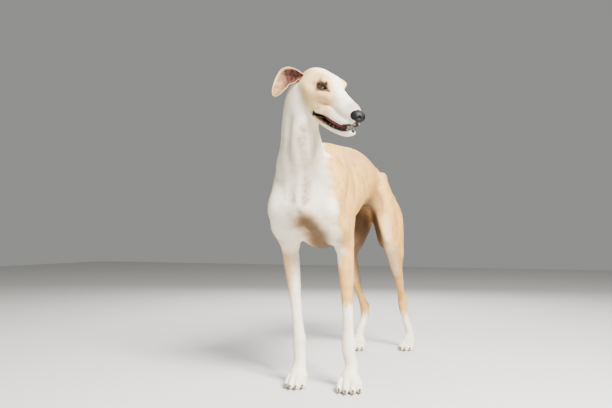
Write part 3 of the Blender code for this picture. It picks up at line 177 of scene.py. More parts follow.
class Shape:
    """Round sections along a smooth line.

    Each station is x, y, z, half the width, and the reach above and below the line. The width lies along
    side, and above is side crossed with the line's own direction.
    """

    def __init__(
        self, stations, side=(1, 0, 0), side_end=None, blend=0.012, cuts=False, cap=None, steps=STEPS_PER_SPAN
    ):
        rows = [tuple(s) + (s[-1],) if len(s) == 5 else tuple(s) for s in stations]
        self.rows = smooth_rows(np.array(rows, float), steps)
        ends = np.array([side, side if side_end is None else side_end], float)
        share = np.linspace(0, 1, len(self.rows))[:, None]
        self.sides = ends[0] * (1 - share) + ends[1] * share
        self.turns = side_end is not None
        self.blend = blend
        self.cuts = cuts
        self.cap = cap
        reach = max(self.rows[:, 3:].max(), cap or 0) + blend
        self.low = self.rows[:, :3].min(axis=0) - reach - 0.02
        self.high = self.rows[:, :3].max(axis=0) + reach + 0.02

    def distance(self, points):
        """About how far each point is from the surface, and below zero inside."""
        found = np.full(len(points), FAR)
        near = ((points > self.low) & (points < self.high)).all(axis=1)
        if not near.any():
            return found
        found[near] = self.distance_near(points[near])
        return found

    def distance_near(self, points):
        """The distance to the nearest of the spans between two rows."""
        best = np.full(len(points), FAR)
        for i in range(len(self.rows) - 1):
            start, end = self.rows[i], self.rows[i + 1]
            run = end[:3] - start[:3]
            length = np.linalg.norm(run)
            along = run / length
            offset = points - start[:3]
            travel = offset @ along
            share = np.clip(travel / length, 0, 1)
            sizes = start[3:] + share[:, None] * (end[3:] - start[3:])
            if self.turns:
                side = self.sides[i] + share[:, None] * (self.sides[i + 1] - self.sides[i])
                side = side - (side @ along)[:, None] * along
                side = side / np.linalg.norm(side, axis=1, keepdims=True)
                across = (offset * side).sum(axis=1)
                rise = (offset * np.cross(side, along)).sum(axis=1)
            else:
                side = unit(self.sides[i] - (self.sides[i] @ along) * along)
                across = offset @ side
                rise = offset @ np.cross(side, along)
            over = travel - share * length
            half = np.where(rise > 0, sizes[:, 1], sizes[:, 2])
            cap = np.minimum(sizes[:, 0], half) if self.cap is None else np.full(len(points), self.cap)
            units = np.stack([across / sizes[:, 0], rise / half, over / cap])
            scaled = np.stack([units[0] / sizes[:, 0], units[1] / half, units[2] / cap])
            first = np.sqrt((units**2).sum(axis=0))
            second = np.sqrt((scaled**2).sum(axis=0))
            value = first * (first - 1) / np.maximum(second, 1e-6)
            best = np.minimum(best, np.where(second < 1e-6, -cap, value))
        return best


def smooth_rows(rows, steps):
    """Rows read from a smooth curve through the given ones."""
    padded = np.vstack([2 * rows[0] - rows[1], rows, 2 * rows[-1] - rows[-2]])
    t = np.linspace(0, 1, steps, endpoint=False)[:, None]
    spans = []
    for p0, p1, p2, p3 in zip(padded, padded[1:], padded[2:], padded[3:]):
        bend = 2 * p0 - 5 * p1 + 4 * p2 - p3
        spans.append(0.5 * (2 * p1 + (p2 - p0) * t + bend * t**2 + (3 * p1 - 3 * p2 + p3 - p0) * t**3))
    return np.vstack(spans + [rows[-1:]])


def ball(centre, radii, side=(1, 0, 0), along=(0, 1, 0), blend=0.012, cuts=False):
    """An egg of half width, half length and half height, as a line so short that only its caps show."""
    across, length, height = radii
    step = 0.0003 * np.array(along, float) / np.linalg.norm(along)
    ends = [(*(np.array(centre, float) + sign * step), across, height) for sign in (-1, 1)]
    return Shape(ends, side, blend=blend, cuts=cuts, cap=length, steps=1)


def melt(first, second, blend):
    """The two distances joined, with the crease between them filled."""
    share = np.clip(0.5 + 0.5 * (second - first) / blend, 0, 1)
    return second * (1 - share) + first * share - blend * share * (1 - share)


class Groove:
    """A hollow along a line on the skin, or a ridge where the depth is below zero."""

    def __init__(self, points, width, depth):
        self.line = smooth_rows(np.array(points, float), GROOVE_STEPS_PER_SPAN)
        self.width = width
        self.depth = depth

    def deepen(self, points):
        """How much the skin sinks at each point."""
        sunk = np.zeros(len(points))
        reach = 2.6 * self.width
        low, high = self.line.min(axis=0) - reach, self.line.max(axis=0) + reach
        near = ((points > low) & (points < high)).all(axis=1)
        if near.any():
            apart = distance_to_line(points[near], self.line)
            sunk[near] = self.depth * np.exp(-((apart / self.width) ** 2))
        return sunk


def distance_to_line(points, line):
    best = np.full(len(points), FAR)
    for start, end in zip(line, line[1:]):
        run = end - start
        share = np.clip((points - start) @ run / (run @ run), 0, 1)
        best = np.minimum(best, np.linalg.norm(points - start - share[:, None] * run, axis=1))
    return best


def field(shapes, points):
    """The distance to the whole body: shapes are added, cut or pressed in, in their order."""
    total = np.full(len(points), FAR)
    for shape in shapes:
        if isinstance(shape, Groove):
            total = total + shape.deepen(points)
            continue
        value = shape.distance(points)
        if shape.cuts:
            total = -melt(-total, value, shape.blend)
        else:
            total = melt(total, value, shape.blend)
    return total


def trunk():
    """The chest, loin and croup, from the breastbone's tip to the seat, and the muscles along the spine."""
    top, keel = WITHERS_HEIGHT, BRISKET_HEIGHT
    wide = CHEST_HALF_WIDTH
    return [
        # The barrel of the chest, the loin and the croup
        Shape(
            [
                (0, CHEST_FRONT_Y + 0.024, 0.498, 0.038, 0.052, 0.040),
                (0, -0.050, 0.520, 0.070, 0.100, 0.090),
                (0, 0.005, 0.535, wide * 0.95, top - 0.575, 0.535 - keel - 0.002),
                (0, 0.070, 0.545, wide * 1.03, top - 0.566, 0.545 - keel - 0.006),
                (0, 0.160, 0.560, wide * 1.09, top - 0.577, 0.102),
                (0, 0.250, 0.578, wide * 0.98, 0.104, 0.073),
                (0, 0.330, 0.597, wide * 0.86, 0.089, 0.071),
                (0, 0.410, 0.602, wide * 0.72, 0.072, 0.602 - TUCK_HEIGHT),
                (0, 0.490, 0.598, wide * 0.66, CROUP_HEIGHT - 0.634, 0.074),
                (0, 0.570, 0.588, wide * 0.64, CROUP_HEIGHT - 0.636, 0.072),
                (0, 0.640, 0.570, wide * 0.56, 0.050, 0.060),
                (0, 0.686, 0.558, wide * 0.42, 0.040, 0.042),
            ],
            blend=0.02,
            steps=4,
        ),
        # The keel of the chest, narrow behind the elbows, where it rises to the tucked-up belly
        Shape(
            [
                (0, 0.020, 0.470, 0.052, 0.050, 0.470 - keel - 0.008),
                (0, 0.090, 0.465, 0.045, 0.050, 0.465 - keel - 0.005),
                (0, 0.160, 0.475, 0.032, 0.050, 0.068),
                (0, 0.230, 0.495, 0.021, 0.045, 0.056),
                (0, 0.300, 0.522, 0.014, 0.035, 0.040),
                (0, 0.350, 0.545, 0.012, 0.025, 0.028),
            ],
            blend=0.022,
        ),
        # The long muscles on both sides of the spine
        Shape(
            [
                (0, 0.000, 0.640, 0.030, 0.040, 0.05),
                (0, 0.070, 0.660, 0.034, top - 0.661, 0.05),
                (0, 0.180, 0.668, 0.040, 0.035, 0.04),
                (0, 0.300, 0.676, 0.036, 0.034, 0.04),
                (0, 0.410, 0.672, 0.031, 0.032, 0.04),
                (0, 0.500, 0.656, 0.029, CROUP_HEIGHT - 0.664, 0.04),
                (0, 0.580, 0.638, 0.028, 0.032, 0.04),
                (0, 0.650, 0.616, 0.024, 0.028, 0.03),
            ],
            blend=0.024,
        ),
    ]


def shoulder(side):
    """Blade, upper arm, and the muscles that wrap them."""
    s = SIGN[side]
    point, elbow = np.array(SHOULDER_POINT[side]), np.array(FORE_ELBOW[side])
    upper_arm = 0.5 * (point + elbow) + (0.003 * s, 0, 0.012)
    return [
        # The shoulder blade, down to the point of the shoulder
        Shape(
            [
                (0.036 * s, 0.062, 0.662, 0.017, 0.040, 0.026),
                (0.062 * s, 0.016, 0.600, 0.026, 0.046, 0.044),
                (*(point + (0.001 * s, 0.030, 0.040)), 0.027, 0.044, 0.040),
                (*(point + (-0.002 * s, 0, -0.002)), 0.026, 0.032, 0.030),
            ],
            blend=0.026,
        ),
        # The upper arm
        Shape(
            [
                (*(point + (-0.005 * s, 0.008, 0.010)), 0.029, 0.040, 0.032),
                (*upper_arm, 0.032, 0.044, 0.036),
                (*(elbow + (-0.004 * s, -0.010, 0.014)), 0.026, 0.032, 0.032),
            ],
            blend=0.022,
        ),
        # The muscle behind the upper arm, down to the elbow
        Shape(
            [
                (0.058 * s, 0.070, 0.580, 0.022, 0.044, 0.044),
                (*(elbow + (-0.006 * s, 0.018, 0.115)), 0.028, 0.042, 0.046),
                (*(elbow + (-0.002 * s, 0.012, 0.030)), 0.021, 0.024, 0.028),
            ],
            blend=0.022,
        ),
        # The lower breast muscle, from the breastbone to the elbow
        Shape(
            [
                (0.010 * s, -0.092, 0.490, 0.020, 0.024, 0.022),
                (0.036 * s, -0.064, 0.456, 0.030, 0.034, 0.030),
                (0.056 * s, -0.020, 0.424, 0.024, 0.032, 0.030),
            ],
            blend=0.02,
        ),
        # The muscle from the neck's side down over the point of the shoulder to the upper arm
        Shape(
            [
                (0.052 * s, -0.030, 0.615, 0.026, 0.040, 0.036),
                (0.062 * s, -0.052, 0.560, 0.028, 0.036, 0.034),
                (*(point + (-0.015 * s, 0.013, 0.012)), 0.025, 0.032, 0.030),
                (*(upper_arm + (-0.005 * s, -0.012, 0.004)), 0.027, 0.030, 0.030),
            ],
            blend=0.030,
        ),
        # The breast muscle, from the breastbone across to the point of the shoulder
        Shape(
            [
                (0.006 * s, -0.080, 0.516, 0.032, 0.028, 0.026),
                (*(point * (0.5, 1, 1) + (0, 0.006, 0.012)), 0.044, 0.036, 0.030),
                (*(point + (-0.014 * s, 0.014, 0.002)), 0.034, 0.028, 0.026),
            ],
            side=(0, 0, 1),
            blend=0.032,
        ),
    ]


def foreleg(side):
    """Forearm, wrist and pastern, down to the paw."""
    elbow, wrist, paw = (np.array(p[side]) for p in (FORE_ELBOW, FORE_WRIST, FORE_PAW))
    inward = -SIGN[side]

    def between(share):
        return elbow + (wrist - elbow) * share

    return [
        # The forearm, wrist and pastern
        Shape(
            [
                (*(elbow + (0, -0.004, 0.006)), 0.024, 0.030, 0.030),
                (*(between(0.16) + (0, -0.002, 0)), 0.0235, 0.027, 0.028),
                (*between(0.40), 0.0195, 0.021, 0.022),
                (*between(0.66), 0.0158, 0.0165, 0.0165),
                (*between(0.88), 0.0162, 0.0160, 0.0160),
                (*wrist, 0.0195, 0.0185, 0.0185),
                (*(wrist + (0, -0.001, -0.022)), 0.0185, 0.0165, 0.0170),
                (*(paw + (0, 0.010, 0.068)), 0.0180, 0.0150, 0.0150),
                (*(paw + (0, -0.002, 0.040)), 0.0215, 0.0170, 0.0160),
            ],
            blend=0.010,
        ),
        # The point of the elbow, and the stopper pad behind the wrist
        ball(elbow + (0, 0.030, 0.008), (0.0115, 0.015, 0.020), blend=0.012),
        ball(wrist + (0.004 * inward, 0.018, -0.018), (0.007, 0.008, 0.009), blend=0.008),
    ]


def paw_frame(place, turn):
    """The paw's forward and left directions, level with the floor."""
    forward = np.array([-math.sin(-turn), -math.cos(turn), 0.0])
    left = np.array([math.cos(turn), math.sin(turn), 0.0])
    return np.array(place, float), forward, left


TOE_SPREAD = (-0.0215, -0.0078, 0.0078, 0.0215)
TOE_REACH = (0.030, 0.044, 0.044, 0.030)


def paw(place, turn, size=1.0, spread=1.0):
    """Four arched toes with their pads, and the heel pad, in front of the pastern."""
    base, forward, left = paw_frame(place, turn)
    up = np.array([0, 0, 1.0])

    def at(ahead, aside, height):
        return base + size * (forward * ahead + left * aside * spread + up * height)

    shapes = [
        ball(at(-0.010, 0, 0.0115), (0.019 * size, 0.018 * size, 0.014 * size), left, forward, 0.008),
        ball(at(0.004, 0, 0.034), (0.024 * size, 0.024 * size, 0.017 * size), left, forward, 0.010),
    ]
    for aside, reach in zip(TOE_SPREAD, TOE_REACH):
        stations = [
            (*at(reach + 0.010, aside * 1.12, 0.0105), 0.0070, 0.0068, 0.0085),
            (*at(reach + 0.001, aside * 1.10, 0.0175), 0.0083, 0.0095, 0.0110),
            (*at(reach - 0.014, aside * 1.00, 0.0270), 0.0092, 0.0102, 0.0110),
            (*at(reach - 0.032, aside * 0.80, 0.0300), 0.0095, 0.0105, 0.0100),
        ]
        shapes.append(Shape([(*s[:3], *(size * r for r in s[3:])) for s in stations], left, blend=0.0045))
        pad = (0.0080 * size, 0.0110 * size, 0.0085 * size)
        shapes.append(ball(at(reach - 0.002, aside * 1.10, 0.0065), pad, left, forward, 0.004))
    return shapes


def claw_stations(place, turn, size=1.0, spread=1.0):
    """For each toe, where its claw starts and ends."""
    base, forward, left = paw_frame(place, turn)
    up = np.array([0, 0, 1.0])
    claws = []
    for aside, reach in zip(TOE_SPREAD, TOE_REACH):
        points = []
        across = left * aside * 1.13 * spread
        for ahead, height in ((0.010, 0.0125), (0.0185, 0.0115), (0.0255, 0.0055)):
            points.append(base + size * (forward * (reach + ahead) + across + up * height))
        claws.append(points)
    return claws


def hindleg(side):
    """Thigh, second thigh, hock and hind pastern."""
    s = SIGN[side]
    stifle, hock, paw_place = (np.array(p[side]) for p in (HIND_STIFLE, HIND_HOCK, HIND_PAW))

    def shank(share, back=0.0):
        return stifle + (hock - stifle) * share + (0, back, 0)

    return [
        # The front of the thigh, from the hip bone down to the stifle
        Shape(
            [
                (0.046 * s, 0.520, 0.620, 0.018, 0.034, 0.024),
                (0.060 * s, 0.514, 0.565, 0.026, 0.050, 0.040),
                (0.072 * s, 0.502, 0.490, 0.030, 0.054, 0.044),
                (*(stifle + (0, 0.006, 0.004)), 0.0255, 0.038, 0.030),
            ],
            blend=0.022,
        ),
        # The fold of skin from the flank to the front of the stifle
        Shape(
            [
                (0.040 * s, 0.320, 0.562, 0.016, 0.030, 0.036),
                (0.047 * s, 0.380, 0.552, 0.016, 0.032, 0.034),
                (0.056 * s, 0.432, 0.520, 0.015, 0.034, 0.032),
                (0.066 * s, 0.456, 0.470, 0.015, 0.036, 0.034),
                (0.077 * s, 0.480, 0.420, 0.016, 0.030, 0.030),
            ],
            blend=0.020,
        ),
        # The hollow of the flank, between the loin, the fold and the thigh
        Shape(
            [
                (0.040 * s, 0.395, 0.570, 0.014, 0.022, 0.028),
                (0.047 * s, 0.455, 0.560, 0.016, 0.026, 0.036),
                (0.052 * s, 0.505, 0.554, 0.016, 0.024, 0.030),
            ],
            blend=0.020,
        ),
        # The back of the thigh, from the seat bone down behind the stifle
        Shape(
            [
                (0.038 * s, 0.640, 0.556, 0.024, 0.040, 0.044),
                (0.060 * s, 0.618, 0.502, 0.033, 0.052, 0.062),
                (0.076 * s, 0.585, 0.432, 0.031, 0.046, 0.062),
                (0.086 * s, 0.556, 0.362, 0.027, 0.043, 0.044),
            ],
            blend=0.026,
        ),
        # The inside of the thigh, up into the groin
        Shape(
            [
                (0.018 * s, 0.575, 0.545, 0.024, 0.070, 0.070),
                (0.035 * s, 0.558, 0.480, 0.031, 0.062, 0.062),
                (0.058 * s, 0.532, 0.408, 0.030, 0.050, 0.050),
            ],
            blend=0.026,
        ),
        # The second thigh
        Shape(
            [
                (*(stifle + (0, 0.020, 0.000)), 0.0265, 0.036, 0.036),
                (*shank(0.25, 0.018), 0.0265, 0.031, 0.032),
                (*shank(0.48, 0.008), 0.0195, 0.022, 0.0225),
                (*shank(0.76, -0.002), 0.0135, 0.0150, 0.0155),
                (*shank(0.95, -0.006), 0.0150, 0.0160, 0.0165),
            ],
            blend=0.016,
        ),
        # The tendon that stands clear of the shank, down to the point of the hock
        Shape(
            [
                (*shank(0.42, 0.027), 0.0120, 0.012, 0.014),
                (*shank(0.70, 0.019), 0.0065, 0.0065, 0.0085),
                (*(hock + (0, 0.020, 0.012)), 0.0065, 0.0070, 0.0080),
            ],
            blend=0.010,
        ),
        # Hock and hind pastern
        Shape(
            [
                (*(hock + (0, -0.010, 0.006)), 0.0165, 0.018, 0.0175),
                (*(hock + (0, -0.006, -0.024)), 0.0165, 0.0165, 0.0165),
                (*(hock * 0.52 + paw_place * 0.48 + (0, 0.000, 0.012)), 0.0135, 0.0140, 0.0145),
                (*(paw_place + (0, 0.010, 0.062)), 0.0150, 0.0145, 0.0145),
                (*(paw_place + (0, -0.002, 0.038)), 0.0190, 0.0160, 0.0155),
            ],
            blend=0.008,
        ),
        ball(hock + (0, 0.019, 0.004), (0.0095, 0.0095, 0.0130), blend=0.008),
        # The hip bone and the seat bone, just under the skin
        ball((0.050 * s, 0.520, 0.634), (0.010, 0.022, 0.012), blend=0.018),
        ball((0.041 * s, 0.680, 0.560), (0.012, 0.014, 0.014), blend=0.018),
    ]


def tail():
    """Long and fine, hanging close behind the left leg."""
    return [
        Shape(
            [
                (0.000, 0.660, 0.616, 0.0220, 0.0220),
                (0.000, 0.712, 0.596, 0.0170, 0.0170),
                (0.008, 0.746, 0.540, 0.0135, 0.0140),
                (0.024, 0.752, 0.460, 0.0110, 0.0115),
                (0.040, 0.756, 0.370, 0.0088, 0.0090),
                (0.050, 0.768, 0.290, 0.0068, 0.0070),
                (0.052, 0.788, 0.232, 0.0045, 0.0048),
            ],
            blend=0.014,
        )
    ]


HEAD_LEFT = HEAD_AXES[:, 1]


def neck():
    """From the skull down to the chest; it turns with the head and bows to the right."""
    return [
        Shape(
            [
                (0.052, -0.142, 0.812, 0.038, 0.046, 0.046),
                (0.015, -0.124, 0.776, 0.044, 0.066, 0.062),
                (-0.006, -0.098, 0.722, 0.049, 0.070, 0.086),
                (-0.014, -0.068, 0.660, 0.060, 0.078, 0.092),
                (-0.022, -0.044, 0.600, 0.075, 0.086, 0.080),
                (-0.008, -0.014, 0.545, 0.088, 0.096, 0.098),
            ],
            side=HEAD_LEFT,
            side_end=(1, 0, 0),
            blend=0.026,
            steps=10,
        )
    ]


def head_shape(stations, **settings):
    """A shape given in the head's frame, from front to back."""
    rows = [(*on_head(s[:3]), *s[3:]) for s in stations]
    return Shape(rows, HEAD_LEFT, **settings)


def head_ball(centre, radii, **settings):
    """An egg given in the head's frame: half width, half length and half height."""
    return ball(on_head(centre), radii, HEAD_LEFT, -HEAD_AXES[:, 0], **settings)


def skull():
    """Crown, brow, muzzle and cheeks."""
    shapes = [
        head_ball((-0.060, 0, 0.000), (0.040, 0.053, 0.0365), blend=0.016),
        head_ball((-0.016, 0, 0.008), (0.034, 0.036, 0.026), blend=0.014),
        head_shape(
            [
                (0.120, 0, -0.034, 0.0150, 0.0135, 0.0140),
                (0.103, 0, -0.034, 0.0190, 0.0270, 0.0220),
                (0.080, 0, -0.033, 0.0220, 0.0305, 0.0260),
                (0.050, 0, -0.028, 0.0245, 0.0325, 0.0300),
                (0.018, 0, -0.020, 0.0285, 0.0345, 0.0360),
                (-0.014, 0, -0.016, 0.0330, 0.0380, 0.0380),
            ],
            blend=0.014,
        ),
    ]
    for s in SIGN.values():
        shapes += [
            # The cheekbone
            head_shape(
                [
                    (0.022, 0.024 * s, -0.018, 0.008, 0.009, 0.010),
                    (-0.012, 0.034 * s, -0.021, 0.009, 0.011, 0.014),
                    (-0.046, 0.040 * s, -0.022, 0.009, 0.012, 0.016),
                    (-0.074, 0.036 * s, -0.016, 0.009, 0.012, 0.014),
                ],
                blend=0.014,
            ),
            # The cheek muscle and the brow
            head_ball((-0.034, 0.029 * s, -0.046), (0.015, 0.027, 0.023), blend=0.018),
            head_ball((-0.004, 0.0285 * s, 0.0165), (0.0095, 0.016, 0.0085), blend=0.012),
        ]
    return shapes


def lips_and_jaw():
    """The open mouth: upper lips, then the lower jaw with its own lips."""
    shapes = []
    for s in SIGN.values():
        shapes.append(
            head_shape(
                [
                    (0.119, 0.0095 * s, -0.0515, 0.0050, 0.0080, 0.0058),
                    (0.098, 0.0168 * s, -0.0590, 0.0050, 0.0105, 0.0066),
                    (0.068, 0.0205 * s, -0.0600, 0.0050, 0.0150, 0.0056),
                    (0.038, 0.0252 * s, -0.0575, 0.0056, 0.0200, 0.0050),
                    (0.012, 0.0295 * s, -0.0600, 0.0062, 0.0240, 0.0050),
                    (-0.006, 0.0315 * s, -0.0640, 0.0066, 0.0260, 0.0050),
                ],
                blend=0.007,
            )
        )
    shapes.append(
        head_shape(
            [
                (0.1165, 0, -0.0755, 0.0115, 0.0055, 0.0075),
                (0.096, 0, -0.0830, 0.0155, 0.0060, 0.0090),
                (0.062, 0, -0.0860, 0.0195, 0.0065, 0.0100),
                (0.030, 0, -0.0830, 0.0255, 0.0080, 0.0125),
                (0.002, 0, -0.0770, 0.0310, 0.0140, 0.0160),
                (-0.034, 0, -0.0590, 0.0360, 0.0260, 0.0270),
            ],
            blend=0.006,
        )
    )
    for s in SIGN.values():
        shapes.append(
            head_shape(
                [
                    (0.1185, 0.0060 * s, -0.0722, 0.0035, 0.0040, 0.0045),
                    (0.096, 0.0133 * s, -0.0777, 0.0032, 0.0045, 0.0052),
                    (0.062, 0.0182 * s, -0.0820, 0.0032, 0.0045, 0.0060),
                    (0.034, 0.0242 * s, -0.0790, 0.0036, 0.0045, 0.0060),
                    (0.012, 0.0295 * s, -0.0750, 0.0045, 0.0050, 0.0060),
                    (-0.006, 0.0320 * s, -0.0720, 0.0045, 0.0050, 0.0060),
                ],
                blend=0.005,
            )
        )
    # The hollows of the palate and of the jaw's floor
    shapes += [
        head_shape(
            [
                (0.110, 0, -0.0570, 0.0080, 0.0080, 0.0100),
                (0.080, 0, -0.0600, 0.0135, 0.0130, 0.0100),
                (0.045, 0, -0.0610, 0.0165, 0.0110, 0.0110),
                (0.012, 0, -0.0650, 0.0175, 0.0060, 0.0080),
            ],
            blend=0.003,
            cuts=True,
        ),
        head_shape(
            [
                (0.108, 0, -0.0705, 0.0065, 0.0060, 0.0055),
                (0.080, 0, -0.0780, 0.0125, 0.0060, 0.0065),
                (0.045, 0, -0.0775, 0.0170, 0.0060, 0.0075),
                (0.014, 0, -0.0720, 0.0185, 0.0050, 0.0070),
            ],
            blend=0.003,
            cuts=True,
        ),
    ]
    return shapes


def lids():
    """The swell of the eyelids over each eyeball."""
    return [ball(eye_centre(side), (EYE_RADIUS + LID_THICK,) * 3, blend=0.0035) for side in SIGN]


def grooves():
    """Hollows and ridges that the muscles and bones draw on the skin."""
    right_furrow = [
        (-0.014, -0.112, 0.515),
        (-0.014, -0.125, 0.560),
        (-0.014, -0.128, 0.610),
        (-0.014, -0.140, 0.670),
        (-0.010, -0.158, 0.730),
    ]
    left_furrow = [
        (0.012, -0.112, 0.515),
        (0.022, -0.112, 0.555),
        (0.032, -0.106, 0.600),
        (0.046, -0.108, 0.650),
        (0.062, -0.130, 0.700),
    ]
    forehead = [on_head(p) for p in ((0.012, 0, 0.031), (-0.020, 0, 0.036), (-0.055, 0, 0.038))]
    found = [
        # The furrows beside the windpipe, which meet over the breastbone
        Groove(right_furrow, 0.013, 0.0065),
        Groove(left_furrow, 0.013, 0.0065),
        # Between the two breast muscles
        Groove([(0, -0.113, 0.482), (0, -0.10, 0.45), (0, -0.07, 0.41)], 0.010, 0.005),
        # The forehead's middle line
        Groove(forehead, 0.006, 0.0014),
    ]
    for side, s in SIGN.items():
        found += body_grooves(side, s) + face_grooves(s)
    return found


def body_grooves(side, s):
    stifle, hock = np.array(HIND_STIFLE[side]), np.array(HIND_HOCK[side])
    point = np.array(SHOULDER_POINT[side])
    blade_front = [(0.055 * s, -0.050, 0.61), (0.060 * s, -0.085, 0.56), (0.050 * s, -0.100, 0.53)]
    blade_ridge = [(0.050 * s, 0.045, 0.66), (0.080 * s, 0.005, 0.60), point + (0.020 * s, 0.03, 0.05)]
    behind_arm = [(0.085 * s, 0.105, 0.60), (0.095 * s, 0.100, 0.53), (0.085 * s, 0.085, 0.44)]
    upper_arm = [(0.085 * s, 0.02, 0.56), (0.105 * s, -0.01, 0.50), (0.105 * s, 0.005, 0.44)]
    thigh = [(0.085 * s, 0.555, 0.58), (0.105 * s, 0.545, 0.50), (0.105 * s, 0.535, 0.42)]
    found = [
        Groove(blade_front, 0.016, 0.002),
        Groove(blade_ridge, 0.010, -0.0022),
        Groove(behind_arm, 0.018, 0.004),
        Groove(upper_arm, 0.012, 0.0025),
        # The hollow of the flank, before the hip bone
        Groove([(0.055 * s, 0.425, 0.63), (0.062 * s, 0.445, 0.60)], 0.028, 0.006),
        Groove([(0.060 * s, 0.470, 0.612), (0.064 * s, 0.474, 0.60)], 0.010, 0.003),
        # Between the muscles of the thigh
        Groove(thigh, 0.014, 0.0035),
    ]
    # Either side of the heel's tendon
    for aside in (-1, 1):
        above = stifle * 0.45 + hock * 0.55 + (0.016 * aside, 0.014, 0)
        found.append(Groove([hock + (0.012 * aside, 0.006, 0.020), above], 0.007, 0.003))
    for i in range(RIBS):
        back = 0.145 + 0.031 * i
        rib = [
            (0.075 * s, back + 0.020, 0.635),
            (0.095 * s, back + 0.012, 0.560),
            (0.085 * s, back - 0.012, 0.480),
        ]
        found.append(Groove(rib, 0.0075, -0.0016))
    return found


def face_grooves(s):
    """The temple, the hollow before the cheek, and the fold behind the corner of the mouth."""
    temple = [on_head((-0.022, 0.032 * s, 0.020)), on_head((-0.050, 0.038 * s, 0.014))]
    cheek = [on_head((0.050, 0.024 * s, -0.020)), on_head((0.022, 0.030 * s, -0.036))]
    corner = [on_head((0.006, 0.036 * s, -0.052)), on_head((-0.006, 0.040 * s, -0.064))]
    return [Groove(temple, 0.010, 0.0022), Groove(cheek, 0.012, 0.0022), Groove(corner, 0.006, 0.0016)]


def eye_centre(side):
    """The middle of the eyeball; the eye looks half forward, half outward."""
    back, inward = EYE_SET_BACK * EYE_RADIUS, EYE_SET_IN * EYE_RADIUS
    return on_head((-back, (EYE_SPACING - inward) * SIGN[side], EYE_RISE))


def body_shapes():
    """Every shape of the flesh, in the order that they are joined and cut."""
    shapes = trunk() + neck()
    for side in SIGN:
        shapes += shoulder(side) + foreleg(side) + hindleg(side)
    shapes += tail() + skull() + lips_and_jaw() + lids()
    for side in SIGN:
        shapes += paw(FORE_PAW[side], FORE_PAW_TURN[side], *FORE_PAW_SIZE[side])
        shapes += paw(HIND_PAW[side], HIND_PAW_TURN[side], *HIND_PAW_SIZE)
    hollows = grooves()
    for groove in hollows:
        groove.line = settle(groove.line, shapes, rounds=8)
    return shapes + hollows


RING_SIDES = 12


def add_rings(mesh, shape):
    """A closed mesh of the shape's sections, just inside its surface, added to the bmesh."""
    rows, sides = shape.rows, shape.sides
    first, last = (rows[0, :3] - rows[1, :3]), (rows[-1, :3] - rows[-2, :3])
    stations = []
    for share, tight in ((0.92, 0.38), (0.60, 0.80)):
        stations.append((rows[0], sides[0], first, share, tight))
    stations += [(row, side, None, 0.0, 1.0) for row, side in zip(rows, sides)]
    for share, tight in ((0.60, 0.80), (0.92, 0.38)):
        stations.append((rows[-1], sides[-1], last, share, tight))
    rings = []
    for i, (row, side, out, share, tight) in enumerate(stations):
        near = min(max(i - 2, 0), len(rows) - 1)
        along = rows[min(near + 1, len(rows) - 1), :3] - rows[max(near - 1, 0), :3]
        along = unit(along)
        across = side - along * (side @ along)
        across = unit(across)
        above = np.cross(across, along)
        cap = min(row[3:]) if shape.cap is None else shape.cap
        centre = row[:3] + (0 if out is None else out / np.linalg.norm(out) * cap * share)
        ring = []
        for k in range(RING_SIDES):
            angle = 2 * math.pi * k / RING_SIDES
            rise = row[4] if math.sin(angle) > 0 else row[5]
            spot = centre + tight * (across * row[3] * math.cos(angle) + above * rise * math.sin(angle))
            ring.append(mesh.verts.new(spot))
        rings.append(ring)
    close_rings(mesh, rings)


def close_rings(mesh, rings):
    """Faces between each ring of vertices and the next, and one over each end."""
    for one, other in zip(rings, rings[1:]):
        for k in range(len(one)):
            n = (k + 1) % len(one)
            mesh.faces.new((one[k], one[n], other[n], other[k]))
    mesh.faces.new(rings[0][::-1])
    mesh.faces.new(rings[-1])


def mesh_of_rings(name, shapes):
    mesh = bmesh.new()
    for shape in shapes:
        add_rings(mesh, shape)
    bmesh.ops.recalc_face_normals(mesh, faces=mesh.faces)
    return linked(name, mesh)


def apply_modifiers(made):
    """The object's evaluated mesh becomes its mesh, and its modifiers go."""
    graph = bpy.context.evaluated_depsgraph_get()
    data = bpy.data.meshes.new_from_object(made.evaluated_get(graph))
    made.modifiers.clear()
    made.data = data


def remesh(made, voxel):
    modifier = made.modifiers.new("skin", "REMESH")
    modifier.mode = "VOXEL"
    modifier.voxel_size = voxel
    apply_modifiers(made)


def points_of(made):
    flat = np.empty(len(made.data.vertices) * 3)
    made.data.vertices.foreach_get("co", flat)
    return flat.reshape(-1, 3)


def place_points(made, points):
    made.data.vertices.foreach_set("co", points.ravel())
    made.data.update()


PROBE = 0.0006
CORNERS = np.array([(1, 1, 1), (1, -1, -1), (-1, 1, -1), (-1, -1, 1)], float)
MOST_STEP = 0.006


def settle(points, shapes, rounds=3, inset=0.0):
    """Moves points onto the field's surface, or inset below it."""
    for _ in range(rounds):
        samples = [field(shapes, points + PROBE * corner) for corner in CORNERS]
        value = sum(samples) / 4 + inset
        slope = sum(s[:, None] * c for s, c in zip(samples, CORNERS)) / (4 * PROBE)
        steep = np.maximum((slope**2).sum(axis=1), 0.05)
        move = slope * (value / steep)[:, None]
        length = np.linalg.norm(move, axis=1)
        move *= np.minimum(1, MOST_STEP / np.maximum(length, 1e-9))[:, None]
        points = points - move
    return points


def skin(voxel, shapes):
    """One closed skin over all the shapes."""
    made = mesh_of_rings("skin", [s for s in shapes if isinstance(s, Shape) and not s.cuts])
    remesh(made, voxel)
    place_points(made, settle(points_of(made), shapes))
    return made


def in_zones(points, zones):
    """Which points lie within any of the balls, each given as a centre and a reach."""
    inside = np.zeros(len(points), bool)
    for centre, reach in zones:
        inside |= ((points - np.array(centre)) ** 2).sum(axis=1) < reach**2
    return inside


